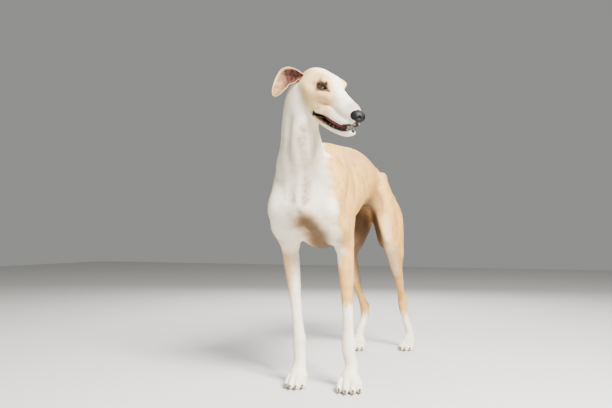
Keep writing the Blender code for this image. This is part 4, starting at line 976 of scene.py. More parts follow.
def refine(made, zones):
    """Halves the edges whose ends both lie in the zones."""
    inside = in_zones(points_of(made), zones)
    mesh = bmesh.new()
    mesh.from_mesh(made.data)
    mesh.verts.ensure_lookup_table()
    edges = [e for e in mesh.edges if inside[e.verts[0].index] and inside[e.verts[1].index]]
    bmesh.ops.subdivide_edges(mesh, edges=edges, cuts=1, use_grid_fill=True)
    bmesh.ops.triangulate(mesh, faces=[f for f in mesh.faces if len(f.verts) > 4])
    mesh.to_mesh(made.data)
    mesh.free()


def box(name, centre, axes, sizes):
    """A box with its sides along the given directions, which are right-handed."""
    frame = np.array([np.array(a, float) / np.linalg.norm(a) for a in axes]).T
    mesh = bmesh.new()
    bmesh.ops.create_cube(mesh, size=1.0)
    for vert in mesh.verts:
        vert.co = Vector(np.array(centre, float) + frame @ (np.array(vert.co) * sizes))
    return linked(name, mesh)


def linked(name, mesh):
    """The bmesh as a new object."""
    data = bpy.data.meshes.new(name)
    mesh.to_mesh(data)
    mesh.free()
    made = bpy.data.objects.new(name, data)
    bpy.context.scene.collection.objects.link(made)
    return made


def boolean(made, others, operation):
    """One Boolean with all the others, which are then removed."""
    tools = bpy.data.collections.new("tools")
    for other in others:
        tools.objects.link(other)
    modifier = made.modifiers.new("work", "BOOLEAN")
    modifier.operation = operation
    modifier.solver = "MANIFOLD"
    modifier.operand_type = "COLLECTION"
    modifier.collection = tools
    apply_modifiers(made)
    for other in others:
        bpy.data.objects.remove(other)
    bpy.data.collections.remove(tools)


def mouth_corners():
    """A wedge right across the head, that opens the mouth as far back as the corners of the lips."""
    outline = (
        (0.045, -0.0640),
        (0.045, -0.0790),
        (0.022, -0.0775),
        (0.006, -0.0745),
        (-0.003, -0.0710),
        (-0.0045, -0.0690),
        (-0.003, -0.0665),
        (0.012, -0.0645),
    )
    mesh = bmesh.new()
    rings = [[mesh.verts.new(on_head((x, y, z))) for x, z in outline] for y in (-0.06, 0.06)]
    close_rings(mesh, rings)
    bmesh.ops.recalc_face_normals(mesh, faces=mesh.faces)
    return linked("wedge", mesh)


def pieces_of(made):
    """The closed surfaces of the object as separate objects, largest first."""
    mesh = bmesh.new()
    mesh.from_mesh(made.data)
    left = set(mesh.verts)
    found = []
    while left:
        todo = [left.pop()]
        group = set(todo)
        while todo:
            for edge in todo.pop().link_edges:
                for vert in edge.verts:
                    if vert not in group:
                        group.add(vert)
                        todo.append(vert)
        left -= group
        found.append([vert.index for vert in group])
    mesh.free()
    return sorted(found, key=len, reverse=True)


def keep_largest(made):
    sets = pieces_of(made)
    if len(sets) > 1:
        keep = set(sets[0])
        mesh = bmesh.new()
        mesh.from_mesh(made.data)
        mesh.verts.ensure_lookup_table()
        bmesh.ops.delete(mesh, geom=[v for v in mesh.verts if v.index not in keep], context="VERTS")
        mesh.to_mesh(made.data)
        mesh.free()


def nose_shapes():
    """The nose leather, with its wings and the comma of each nostril."""
    shapes = [
        head_ball((0.1205, 0, -0.0290), (0.0150, 0.0165, 0.0135), blend=0.008),
        head_ball((0.1300, 0, -0.0345), (0.0090, 0.0080, 0.0105), blend=0.006),
    ]
    for s in SIGN.values():
        shapes.append(head_ball((0.1200, 0.0092 * s, -0.0315), (0.0088, 0.0150, 0.0105), blend=0.006))
    for s in SIGN.values():
        shapes.append(
            head_shape(
                [
                    (0.1415, 0.0052 * s, -0.0300, 0.0028, 0.0032),
                    (0.1320, 0.0068 * s, -0.0305, 0.0028, 0.0030),
                    (0.1235, 0.0074 * s, -0.0315, 0.0021, 0.0023),
                ],
                blend=0.0015,
                cuts=True,
            )
        )
        shapes.append(
            head_shape(
                [
                    (0.1360, 0.0095 * s, -0.0315, 0.0020, 0.0015),
                    (0.1290, 0.0148 * s, -0.0338, 0.0023, 0.0013),
                    (0.1205, 0.0180 * s, -0.0358, 0.0021, 0.0011),
                ],
                blend=0.0015,
                cuts=True,
            )
        )
    middle = [on_head(p) for p in ((0.140, 0, -0.028), (0.138, 0, -0.039), (0.130, 0, -0.047))]
    return shapes + [Groove(middle, 0.0018, 0.0014)]


def tongue_shapes():
    middle = [on_head(p) for p in ((0.100, 0, -0.069), (0.070, 0, -0.066), (0.040, 0, -0.064))]
    return [
        head_shape(
            [
                (0.102, 0, -0.0722, 0.0070, 0.0030, 0.0040),
                (0.084, 0, -0.0718, 0.0110, 0.0050, 0.0070),
                (0.058, 0, -0.0720, 0.0135, 0.0060, 0.0070),
                (0.034, 0, -0.0705, 0.0150, 0.0060, 0.0070),
                (0.012, 0, -0.0670, 0.0140, 0.0050, 0.0060),
            ],
            blend=0.004,
        ),
        Groove(middle, 0.0025, 0.0012),
    ]


def cone(points, radii, sides=6):
    """A tooth or a claw: rings that narrow along a bent line, with a blunt tip."""
    points = np.array(points, float)
    mesh = bmesh.new()
    rings = []
    for i, (point, radius) in enumerate(zip(points, radii)):
        along = points[min(i + 1, len(points) - 1)] - points[max(i - 1, 0)]
        along = unit(along)
        across = np.cross(along, (0.3, 0.1, 0.95))
        across = unit(across)
        above = np.cross(across, along)
        angles = [2 * math.pi * k / sides for k in range(sides)]
        ring = [point + radius * (across * math.cos(a) + above * math.sin(a)) for a in angles]
        rings.append([mesh.verts.new(spot) for spot in ring])
    close_rings(mesh, rings)
    bmesh.ops.recalc_face_normals(mesh, faces=mesh.faces)
    return linked("cone", mesh)


def tooth(x, y, root_z, tip_z, radius, lean=0.0):
    """A tooth given in the head's frame, from its root to its tip."""
    middle = root_z * 0.45 + tip_z * 0.55
    spots = [(x, y, root_z), (x + lean * 0.4, y, middle), (x - lean * 0.2, y * 1.02, tip_z)]
    return cone([on_head(p) for p in spots], (radius, radius * 0.8, radius * 0.3), 6)


def upper_teeth():
    """Canines, incisors and cheek teeth of the upper jaw."""
    made = []
    for s in SIGN.values():
        made.append(tooth(0.1025, 0.0122 * s, -0.0500, -0.0640, 0.0027, 0.003))
        for i in range(3):
            made.append(tooth(0.1175 - 0.0016 * i * i, (0.0018 + 0.0032 * i) * s, -0.0450, -0.0545, 0.0017))
        for i in range(4):
            made.append(tooth(0.086 - 0.0125 * i, (0.0150 + 0.0020 * i) * s, -0.0500, -0.0650, 0.0032))
    return made


def lower_teeth():
    """Canines, incisors and cheek teeth of the lower jaw."""
    made = []
    for s in SIGN.values():
        made.append(tooth(0.1085, 0.0090 * s, -0.0795, -0.0635, 0.0024, 0.003))
        for i in range(3):
            made.append(tooth(0.1150 - 0.0010 * i * i, (0.0016 + 0.0025 * i) * s, -0.0780, -0.0675, 0.0015))
        for i in range(4):
            made.append(tooth(0.090 - 0.0125 * i, (0.0130 + 0.0022 * i) * s, -0.0870, -0.0755, 0.0026))
    return made


def eye_ball(name, centre, radius, segments=16, rings=10):
    mesh = bmesh.new()
    bmesh.ops.create_uvsphere(mesh, u_segments=segments, v_segments=rings, radius=radius)
    for vert in mesh.verts:
        vert.co = Vector(centre) + vert.co
    return linked(name, mesh)


EAR_FACING = (0.43, 0.87, 0.20)
EAR_LINE = (
    # From the root to the tip, in the head's frame: outer edge, inner edge, depth of the cup
    (-0.078, 0.034, 0.010, -0.081, 0.037, -0.014, 0.003),
    (-0.097, 0.042, 0.013, -0.093, 0.044, -0.007, 0.006),
    (-0.116, 0.050, 0.017, -0.100, 0.050, -0.020, 0.010),
    (-0.134, 0.060, 0.013, -0.111, 0.057, -0.028, 0.012),
    (-0.147, 0.068, 0.002, -0.112, 0.060, -0.037, 0.012),
    (-0.151, 0.074, -0.017, -0.116, 0.065, -0.048, 0.010),
    (-0.149, 0.079, -0.040, -0.121, 0.069, -0.058, 0.007),
    (-0.145, 0.081, -0.058, -0.126, 0.074, -0.066, 0.004),
    (-0.138, 0.080, -0.069, -0.131, 0.077, -0.070, 0.001),
)


def ear_grid(side, steps=2, across=9):
    """Points over the ear's middle sheet, cupped between its two edges, in the head's frame."""
    mirror = np.array([1, SIGN[side], 1])
    facing = np.array(EAR_FACING) / np.linalg.norm(EAR_FACING)
    v = np.linspace(-1, 1, across)[:, None]
    rows = []
    for row in smooth_rows(np.array(EAR_LINE), steps):
        flat = row[:3] * (1 - v) / 2 + row[3:6] * (1 + v) / 2
        rows.append((flat - facing * row[6] * (1 - v * v)) * mirror)
    points = np.array(rows)
    if side == "left":
        points = fold_back(points)
    return points


def fold_back(points):
    """The far ear lies a little lower: turned about the ear's root, in the head's own frame."""
    root = np.array(EAR_LINE[0][:3])
    turn = np.array(Matrix.Rotation(-EAR_DROP, 3, "Y"))
    return (points - root) @ turn.T + root


def lid_directions(side):
    """Where the eye looks, towards its outer corner, and up along its opening, in the head's frame."""
    s = SIGN[side]
    look = np.array([0.62, 0.78 * s, 0.06])
    look = unit(look)
    corner = np.array([-0.78, 0.62 * s, LID_SLANT])
    corner = corner - look * (look @ corner)
    corner = unit(corner)
    return look, corner, np.cross(look, corner) * s


def lid_opening(side, steps):
    """The almond between the lids: a lens-shaped prism that looks out from the eyeball's middle."""
    look, corner, upward = lid_directions(side)
    outline = []
    for i in range(2 * steps):
        u = -1 + i / steps
        outline.append((u * LID_HALF_LENGTH, LID_UP * (1 - abs(u) ** 2.2)))
    for i in range(2 * steps):
        u = 1 - i / steps
        outline.append((u * LID_HALF_LENGTH, -LID_DOWN * (1 - abs(u) ** 2.4)))
    mesh = bmesh.new()
    rings = []
    for depth, grow in ((0.0, 1.0), (0.030, 1.25)):
        ring = []
        for u, v in outline:
            spot = look * depth + grow * (corner * u + upward * v)
            ring.append(mesh.verts.new(eye_centre(side) + HEAD_AXES @ spot))
        rings.append(ring)
    close_rings(mesh, rings)
    bmesh.ops.recalc_face_normals(mesh, faces=mesh.faces)
    return linked("opening", mesh)


# Sizes of the skin's mesh
BODY_VOXEL = 0.0048

# The camera that the photo was taken with, in the dog's own frame
CAMERA_PLACE = Vector((0.6756, -1.6816, 0.4176))
CAMERA_TURN = math.radians(22.73)
CAMERA_RISE = math.radians(2.98)
CAMERA_LENS = 36 * 640 / 612

FLESH = (
    "torso", "neck", "head", "lower_jaw", "ear_left", "ear_right", "tail",
    "foreleg_left", "foreleg_right", "forepaw_left", "forepaw_right",
    "hindleg_left", "hindleg_right", "hindpaw_left", "hindpaw_right",
)


def shift_to_frame():
    """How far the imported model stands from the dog's own frame."""
    low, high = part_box("eye_left")
    return np.array((low + high) / 2) - eye_centre("left")


def colour(text):
    """An sRGB hex colour as linear values."""
    parts = [int(text[i : i + 2], 16) / 255 for i in (1, 3, 5)]
    linear = [p / 12.92 if p <= 0.04045 else ((p + 0.055) / 1.055) ** 2.4 for p in parts]
    return (*linear, 1.0)


def ramp(value, low, high):
    """A soft step from 0 at low to 1 at high."""
    t = np.clip((value - low) / (high - low), 0, 1)
    return t * t * (3 - 2 * t)


def to_head(points):
    return (points - np.array(EYES_CENTRE)) @ HEAD_AXES


def deselect():
    for item in bpy.context.view_layer.objects:
        item.select_set(False)


def attribute(made, name, values):
    layer = made.data.attributes.new(name, "FLOAT", "POINT")
    layer.data.foreach_set("value", np.asarray(values, np.float32))


def finish_piece(made, material, replaced=()):
    """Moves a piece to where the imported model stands, and tells the frame about it."""
    place_points(made, points_of(made) + shift_to_frame())
    made.data.materials.clear()
    made.data.materials.append(material)
    for polygon in made.data.polygons:
        polygon.use_smooth = True
    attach(made, "root")
    if replaced:
        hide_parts(*replaced)


# The skin

def mouth_filler():
    """What would close the open mouth, so that the lining is known from the coat."""
    return head_shape(
        [
            (0.106, 0, -0.0680, 0.0130, 0.0130, 0.0140),
            (0.085, 0, -0.0700, 0.0180, 0.0140, 0.0140),
            (0.058, 0, -0.0710, 0.0215, 0.0140, 0.0130),
            (0.030, 0, -0.0700, 0.0270, 0.0140, 0.0120),
            (0.004, 0, -0.0690, 0.0325, 0.0140, 0.0120),
        ],
        blend=0.004,
    )


def ear_solid(side, thick):
    """The ear's thin cupped sheet as a closed mesh, thinner at its rim."""
    points = ear_grid(side, EAR_STEPS, EAR_ACROSS)
    rows, columns = points.shape[:2]
    normal = np.cross(np.gradient(points, axis=0), np.gradient(points, axis=1))
    normal = normal / np.linalg.norm(normal, axis=2, keepdims=True)
    edge = np.ones((rows, columns, 1))
    edge[:, (1, -2)] = EAR_NEAR_RIM_SHARE
    edge[:, (0, -1)] = EAR_RIM_SHARE
    edge[-1] = EAR_RIM_SHARE
    mesh = bmesh.new()
    sheets = []
    for sign in (1, -1):
        spots = points + sign * normal * 0.5 * thick * edge
        sheets.append([[mesh.verts.new(on_head(p)) for p in row] for row in spots])
    for sheet in sheets:
        for i in range(rows - 1):
            for j in range(columns - 1):
                mesh.faces.new((sheet[i][j], sheet[i + 1][j], sheet[i + 1][j + 1], sheet[i][j + 1]))
    border = [(i, 0) for i in range(rows)] + [(rows - 1, j) for j in range(1, columns)]
    border += [(i, columns - 1) for i in range(rows - 2, -1, -1)]
    border += [(0, j) for j in range(columns - 2, 0, -1)]
    top, low = sheets
    for k, (i, j) in enumerate(border):
        m, n = border[(k + 1) % len(border)]
        mesh.faces.new((top[i][j], low[i][j], low[m][n], top[m][n]))
    bmesh.ops.recalc_face_normals(mesh, faces=mesh.faces)
    return linked("ear", mesh)


# How deep the coat lies over the skin on the face and the feet, and on the body
COAT_THINNEST = 0.0003
COAT_THICKEST = 0.0012


def inset_of(points):
    """How deep the skin lies under the coat: least on the face and the feet."""
    place = to_head(points)
    apart = np.linalg.norm(place, axis=1)
    face = ramp(-place[:, 0], 0.02, 0.09) * ramp(apart, 0.02, 0.16)
    legs = ramp(points[:, 2], 0.10, 0.30)
    share = np.minimum(np.maximum(face, ramp(apart, 0.14, 0.20)), legs)
    return COAT_THINNEST + (COAT_THICKEST - COAT_THINNEST) * share


def ear_root_points():
    """The middle of each ear's row just above the skull."""
    return [on_head(ear_grid(side, EAR_STEPS, EAR_ACROSS)[EAR_ROOT_ROW].mean(axis=0)) for side in SIGN]


def build_skin():
    """One closed skin, with ears, lids and mouth, replacing every node of flesh."""
    shapes = body_shapes()
    head_zone = [(on_head((0.02, 0, -0.03)), 0.130)]
    paws = [place[side] for place in (FORE_PAW, HIND_PAW) for side in SIGN]
    paw_zones = [(np.array(place) + (0, -0.02, 0.02), 0.065) for place in paws]
    face_zones = [(eye_centre(side), 0.026) for side in SIGN]
    face_zones += [(on_head((x, y, -0.068)), 0.022) for x in (0.01, 0.05, 0.09) for y in (-0.024, 0.024)]
    face_zones += [(on_head((0.108, 0, -0.060)), 0.030)]
    made = mesh_of_rings("skin", [s for s in shapes if isinstance(s, Shape) and not s.cuts])
    remesh(made, BODY_VOXEL)
    place_points(made, settle(points_of(made), shapes, rounds=2))
    refine(made, head_zone + paw_zones)
    place_points(made, settle(points_of(made), shapes, rounds=1))
    refine(made, face_zones)
    points = points_of(made)
    place_points(made, settle(points, shapes, rounds=2, inset=inset_of(points)))
    floor = box("floor", (0, 0.28, -0.0497), ((1, 0, 0), (0, 1, 0), (0, 0, 1)), (1, 1.6, 0.1))
    boolean(made, [floor], "DIFFERENCE")
    for side in SIGN:
        boolean(made, [ear_solid(side, EAR_THICK - 0.0008)], "UNION")
    smooth_near(made, ear_root_points(), 0.034, 4)
    boolean(made, [mouth_corners()], "DIFFERENCE")
    for side in SIGN:
        socket = eye_ball("socket", eye_centre(side), EYE_RADIUS + GAP, 40, 28)
        boolean(made, [socket], "DIFFERENCE")
        boolean(made, [lid_opening(side, 20)], "DIFFERENCE")
    keep_largest(made)
    made.name = "skin"
    return made, shapes


def smooth_near(made, centres, reach, rounds):
    """Softens the join of two surfaces round the given places."""
    mesh = bmesh.new()
    mesh.from_mesh(made.data)
    places = [Vector(c) for c in centres]
    near = [v for v in mesh.verts if min((v.co - c).length for c in places) < reach]
    for _ in range(rounds):
        bmesh.ops.smooth_vert(mesh, verts=near, factor=0.4, use_axis_x=True, use_axis_y=True, use_axis_z=True)
    mesh.to_mesh(made.data)
    mesh.free()


# The markings, with painted shade and a painted highlight among them, as shares from 0 to 1 over the skin

# The direction from the nape up and forward to the brow, in the head's frame
NAPE_TO_BROW = (0.768, 0, 0.640)


def spot(points, centre, reach, soft=0.5):
    """1 near the centre, falling to 0 at the reach."""
    apart = np.linalg.norm(points - np.array(centre), axis=1)
    return 1 - ramp(apart, reach * soft, reach)


def lid_place(points, side):
    """Where points lie across and up the eye's opening, as shares of its size."""
    look, corner, upward = lid_directions(side)
    offset = (points - eye_centre(side)) @ HEAD_AXES
    ahead = offset @ look
    grow = 1 + 0.25 * ahead / 0.030
    return (offset @ corner) / grow, (offset @ upward) / grow, ahead


def eye_rims(points):
    """The dark margins of the lids, the streaks beyond both corners and the dark fold above the inner one."""
    found = np.zeros(len(points))
    for side in SIGN:
        u, v, ahead = lid_place(points, side)
        tall = np.where(v > 0, LID_UP, LID_DOWN)
        arch = tall * np.clip(1 - (np.abs(u) / LID_HALF_LENGTH) ** 2.2, 0, 1)
        beyond = np.abs(v) - arch
        rim = 1 - ramp(beyond, 0.0034, np.where(v > 0, 0.0080, 0.0060))
        rim = rim * (1 - ramp(np.abs(u) - LID_HALF_LENGTH, 0.0020, 0.0055))
        inner = 1 - ramp(np.hypot((u + LID_HALF_LENGTH + 0.003) / 2.4, v + 0.0010), 0.0022, 0.0044)
        outer = 1 - ramp(np.hypot((u - LID_HALF_LENGTH - 0.003) / 2.6, v - 0.0010), 0.0022, 0.0048)
        fold = 1 - ramp(np.hypot(u + 0.0090, (v - 0.0100) / 1.9), 0.0024, 0.0056)
        near = ramp(ahead, -0.005, -0.001) * (np.abs(u) < 0.032)
        found = np.maximum(found, near * np.maximum.reduce([rim, inner, outer, fold]))
    return found


# Height, and how far back the white reaches on the sides at that height
FAWN_BORDER = (
    (0.360, 0.004), (0.383, -0.002), (0.410, -0.033), (0.437, -0.062), (0.472, -0.080),
    (0.546, -0.088), (0.600, -0.074), (0.630, -0.066), (0.660, -0.020), (0.687, 0.034),
)

# Lines of the lips in the head's frame: below the nose, the upper lip's front, and the left half's margins;
# the black bands below the nose and along the lip's front are partly painted shadow
NOSE_LIP = ((0.131, 0, -0.048), (0.1245, 0, -0.0535))
LIP_FRONT = ((0.124, 0, -0.0530), (0.119, 0.0110, -0.0570), (0.103, 0.0175, -0.0640))
UPPER_LIP = (
    (-0.004, 0.0340, -0.0680), (0.012, 0.0320, -0.0650), (0.038, 0.0275, -0.0640), (0.068, 0.0225, -0.0660),
    (0.098, 0.0185, -0.0655), (0.119, 0.0110, -0.0570), (0.124, 0, -0.0530),
)
LOWER_LIP = (
    (-0.003, 0.0340, -0.0690), (0.012, 0.0320, -0.0735), (0.034, 0.0262, -0.0775), (0.062, 0.0205, -0.0795),
    (0.096, 0.0155, -0.0770), (0.117, 0.0070, -0.0725), (0.120, 0, -0.0720),
)


def near_line(points, line, full, none):
    """1 within the full distance of a line, falling to 0 at the other distance."""
    return 1 - ramp(distance_to_line(points, np.array(line)), full, none)


def fawn_share(points):
    """Fawn against white over the body, without the head."""
    x, y, z = points.T
    heights, places = np.array(FAWN_BORDER).T
    jag = 0.002 * np.sin(97 * z + 40 * x) + 0.0015 * np.sin(263 * z + 130 * x)
    keel = 0.13 * (1 - ramp(np.abs(x), 0.030, 0.072)) * (1 - ramp(z, 0.440, 0.480))
    fawn = ramp(y - np.interp(z, heights, places) - keel - jag, -0.010, 0.010 + keel)
    jag = 0.008 * np.sin(x * 400) * np.sin(y * 310)
    below_elbow = (y < 0.12) & (z < 0.39)
    left = ramp(z - jag, 0.224, 0.236) * np.maximum(ramp(x, 0.068, 0.084), 1 - ramp(z, 0.320, 0.360))
    right = 0.75 * ramp(-x, 0.058, 0.082) * ramp(z - jag, 0.230, 0.290)
    legs = np.where(x > 0, left, right)
    share = ramp(z, 0.362, 0.385)
    fawn = np.where(below_elbow, fawn * share + legs * (1 - share), fawn)
    fawn = np.where((y > 0.12) & (z < 0.30), ramp(z - jag, 0.10, 0.15), fawn)
    brisket = ((0.012, -0.098, 0.450), (0.024, -0.07, 0.426), (0.014, 0.0, 0.400), (0.0, 0.10, 0.40))
    fawn = np.maximum(fawn, 0.9 * near_line(points, brisket, 0.012, 0.055))
    # Paler down the front of each hind shin: partly white coat, partly a painted highlight on the lit front
    # edge
    for side in SIGN:
        stifle, hock = np.array(HIND_STIFLE[side]), np.array(HIND_HOCK[side])
        shin_highlight = [stifle + (0, -0.045, 0.09), stifle + (0, -0.035, 0), (stifle + hock) / 2 + (0, -0.02, 0)]
        fawn = fawn * (1 - 0.35 * near_line(points, shin_highlight, 0.006, 0.030) * (y > 0.12))
    return fawn


def thin_coat_and_shade_share(points):
    """Partly thin coat, where pinkish-brown skin shows through, partly painted shade in the creases and
    hollows: furrows, groins, brisket and elbows.
    """
    keel = ((0.008, -0.106, 0.456), (0.020, -0.07, 0.428), (0.012, 0.0, 0.402), (0.0, 0.10, 0.40))
    left_furrow = (
        (0.034, -0.165, 0.700), (0.026, -0.160, 0.665), (0.027, -0.121, 0.580), (0.020, -0.120, 0.515),
    )
    right_furrow = (
        (-0.016, -0.165, 0.700), (-0.022, -0.140, 0.640), (-0.024, -0.126, 0.580), (-0.014, -0.124, 0.515),
    )
    bare = 0.85 * near_line(points, keel, 0.010, 0.060)
    bare += 0.65 * near_line(points, left_furrow, 0.003, 0.019)
    bare += 0.60 * near_line(points, right_furrow, 0.003, 0.017)
    bare += 0.5 * near_line(points, left_furrow[2:], 0.003, 0.024)
    bare += 0.4 * spot(points, (0.007, -0.127, 0.490), 0.024, 0.1)
    bare += 0.35 * near_line(points, left_furrow[:2], 0.002, 0.024)
    for s in SIGN.values():
        inner = 1 - ramp(s * points[:, 0], 0.060, 0.085)
        thigh = ((0.045 * s, 0.47, 0.50), (0.055 * s, 0.53, 0.42), (0.060 * s, 0.60, 0.30))
        bare += 0.9 * inner * near_line(points, thigh, 0.035, 0.085)
        bare += 0.6 * spot(points, (0.089 * s, -0.033, 0.410), 0.024, 0.2)
        bare += 0.4 * spot(points, (0.083 * s, 0.052, 0.385), 0.036, 0.2)
    return np.clip(bare, 0, 1)


def brown_and_painted_shade_share(points):
    """Dark brown on the keel between the forelegs, the groins and the thighs' inner sides: partly the coat's
    brown, mostly painted shade.
    """
    keel = ((0.016, -0.100, 0.450), (0.030, -0.070, 0.426), (0.020, 0.02, 0.394), (0.0, 0.10, 0.398))
    dusk = near_line(points, keel, 0.014, 0.050)
    for s in SIGN.values():
        inner = 1 - ramp(s * points[:, 0], 0.052, 0.076)
        thigh = ((0.040 * s, 0.38, 0.52), (0.050 * s, 0.53, 0.42), (0.055 * s, 0.60, 0.28))
        dusk = np.maximum(dusk, inner * near_line(points, thigh, 0.045, 0.100))
    return dusk


def mouth_share(points, shapes, near):
    """The mouth's lining: what lies inside the closed outline of the head."""
    hull = [s for s in shapes if not (isinstance(s, Shape) and s.cuts)] + [mouth_filler()]
    lining = np.zeros(len(points))
    near = np.nonzero(near)[0]
    depth = -field(hull, points[near])
    lining[near] = ramp(depth, 0.0016, 0.0034) * (to_head(points[near])[:, 2] < -0.036)
    return lining


def lip_and_shadow_share(head):
    """The dark bare margins of the lips, and a black band below the nose and along the lip's front: partly the
    nose's black running on to the lip, partly painted shadow under the nose and in the mouth's front.
    """
    lip = near_line(head, NOSE_LIP, 0.0075, 0.0125)
    for s in SIGN.values():
        mirror = (1, s, 1)
        lip = np.maximum(lip, near_line(head, np.array(LOWER_LIP) * mirror, 0.0026, 0.0048))
        lip = np.maximum(lip, near_line(head, np.array(UPPER_LIP) * mirror, 0.0014, 0.0034))
        lip = np.maximum(lip, near_line(head, np.array(LIP_FRONT) * mirror, 0.0044, 0.0076))
        lip = np.maximum(lip, spot(head, (-0.004, 0.034 * s, -0.069), 0.0095, 0.6))
    return lip


def markings(points, shapes):
    """The coat's markings, with painted shade and a painted highlight among them, at each point, named as the
    materials read them.
    """
    head = to_head(points)
    hx, hy, hz = head.T
    before_nape = head @ NAPE_TO_BROW
    on_skull = in_zones(points, [(on_head((0.0, 0, -0.03)), 0.175)]) & (before_nape > -0.085)
    blaze_width = 0.012 + 0.10 * np.clip(hx, 0, 0.1) + 0.06 * np.clip(-hx, 0, 0.12)
    blaze = 1 - ramp(np.abs(hy) - blaze_width, -0.004, 0.012)
    muzzle = ramp(hx, 0.025, 0.075)
    cheek = 0.80 - 0.30 * ramp(-hz, 0.03, 0.08)
    face = cheek * (1 - np.maximum(blaze * ramp(hz, -0.03, 0.0), muzzle))
    blend = ramp(before_nape, -0.085, -0.050) * on_skull
    fawn = fawn_share(points) * (1 - blend) + face * blend
    # A darker cream-yellow over the lower cheeks and under the jaw: partly the coat's cream, partly painted
    # shade under the jaw
    yellow = sum(0.9 * spot(head, (-0.035, 0.035 * s, -0.062), 0.075, 0.2) for s in (-1, 1))
    return {
        "fawn": fawn,
        "bare": thin_coat_and_shade_share(points),
        "dusk": brown_and_painted_shade_share(points),
        "bridge": spot(head, (0.108, 0, -0.012), 0.034, 0.2) * on_skull,
        "yellow": np.clip(yellow, 0, 1) * blend,
        "lining": mouth_share(points, shapes, in_zones(points, [(on_head((0.05, 0, -0.06)), 0.095)])),
        "lip": lip_and_shadow_share(head) * on_skull,
        "rim": eye_rims(points) * on_skull,
    }


def ear_markings(points, surface):
    """How far each point lies on an ear, shows the ear's inside, and lies towards its tip."""
    flap = np.zeros(len(points))
    inside = np.zeros(len(points))
    outer = np.zeros(len(points))
    for side in SIGN:
        grid = ear_grid(side, EAR_STEPS, EAR_ACROSS)
        rows, columns = grid.shape[:2]
        normal = np.cross(np.gradient(grid, axis=0), np.gradient(grid, axis=1))
        normal = normal / np.linalg.norm(normal, axis=2, keepdims=True)
        facing = np.array(EAR_FACING) * (1, SIGN[side], 1)
        normal = normal * np.sign(normal @ facing)[:, :, None]
        tree = KDTree(rows * columns)
        for k, place in enumerate(grid.reshape(-1, 3)):
            tree.insert(Vector(on_head(place)), k)
        tree.balance()
        centre = on_head(grid.reshape(-1, 3).mean(axis=0))
        for i in np.nonzero(np.linalg.norm(points - centre, axis=1) < 0.075)[0]:
            _, k, apart = tree.find(Vector(points[i]))
            if apart > 0.006:
                continue
            row, column = divmod(k, columns)
            edge = min(column, columns - 1 - column) / (columns / 2)
            inward = surface[i] @ (HEAD_AXES @ normal[row, column])
            rim = 0.24 if column < columns / 2 else 0.10
            shown = ramp(np.array(inward), 0.0, 0.5) * ramp(np.array(edge), 0.3 * rim, rim)
            inside[i] = shown * (1 - ramp(np.array(row / rows), 0.90, 0.99))
            outer[i] = ramp(np.array(row / rows), 0.42, 0.62)
            flap[i] = 1.0
    return flap, inside, outer


# Materials

def add(tree, kind, settings=None, links=None):
    """Adds a shader node, with settings by attribute or by socket name, and links by socket name."""
    node = tree.nodes.new(kind)
    for key, value in (settings or {}).items():
        if key in node.inputs:
            node.inputs[key].default_value = value
        else:
            setattr(node, key, value)
    for key, source in (links or {}).items():
        tree.links.new(source, node.inputs[key])
    return node


def blank(name, roughness, specular=0.5):
    material = bpy.data.materials.new(name)
    material.use_nodes = True
    shader = material.node_tree.nodes["Principled BSDF"]
    shader.inputs["Roughness"].default_value = roughness
    shader.inputs["Specular IOR Level"].default_value = specular
    return material, material.node_tree, shader


def read(tree, name):
    return add(tree, "ShaderNodeAttribute", {"attribute_name": name}).outputs["Fac"]


def noise(tree, size_mm, detail=2.0, roughness=0.5, stretch=None):
    """Noise whose features are about that many millimetres across."""
    place = add(tree, "ShaderNodeTexCoord").outputs["Object"]
    if stretch:
        place = add(tree, "ShaderNodeMapping", {"Scale": stretch}, {"Vector": place}).outputs["Vector"]
    settings = {"Scale": 1000 / size_mm, "Detail": detail, "Roughness": roughness}
    return add(tree, "ShaderNodeTexNoise", settings, {"Vector": place}).outputs["Fac"]


def calculate(tree, operation, first, second):
    node = add(tree, "ShaderNodeMath", {"operation": operation})
    for socket, value in zip(node.inputs, (first, second)):
        if isinstance(value, (int, float)):
            socket.default_value = value
        else:
            tree.links.new(value, socket)
    return node.outputs[0]


def between(tree, share, first, second):
    """A mix of two colours, each a tuple or a socket."""
    node = add(tree, "ShaderNodeMix", {"data_type": "RGBA"})
    tree.links.new(share, node.inputs["Factor"])
    for socket, value in zip((node.inputs[6], node.inputs[7]), (first, second)):
        if isinstance(value, tuple):
            socket.default_value = value
        else:
            tree.links.new(value, socket)
    return node.outputs[2]


def tinted(tree, shade, share, factor, tint):
    """The shade with a tint over it, as far as the share times the factor."""
    return between(tree, calculate(tree, "MULTIPLY", share, factor), shade, tint)


def bumped(tree, shader, height, strength, depth, invert=False):
    """Fine relief under the shader."""
    settings = {"Strength": strength, "Distance": depth, "invert": invert}
    bump = add(tree, "ShaderNodeBump", settings, {"Height": height})
    tree.links.new(bump.outputs["Normal"], shader.inputs["Normal"])


def spread(tree, value, low, high):
    """The value's part between low and high, as a soft step from 0 to 1."""
    node = add(tree, "ShaderNodeMapRange", {"interpolation_type": "SMOOTHSTEP"}, {"Value": value})
    node.inputs["From Min"].default_value = low
    node.inputs["From Max"].default_value = high
    return node.outputs["Result"]


COAT_ROUGHNESS = 0.68
LINING_ROUGHNESS = 0.34


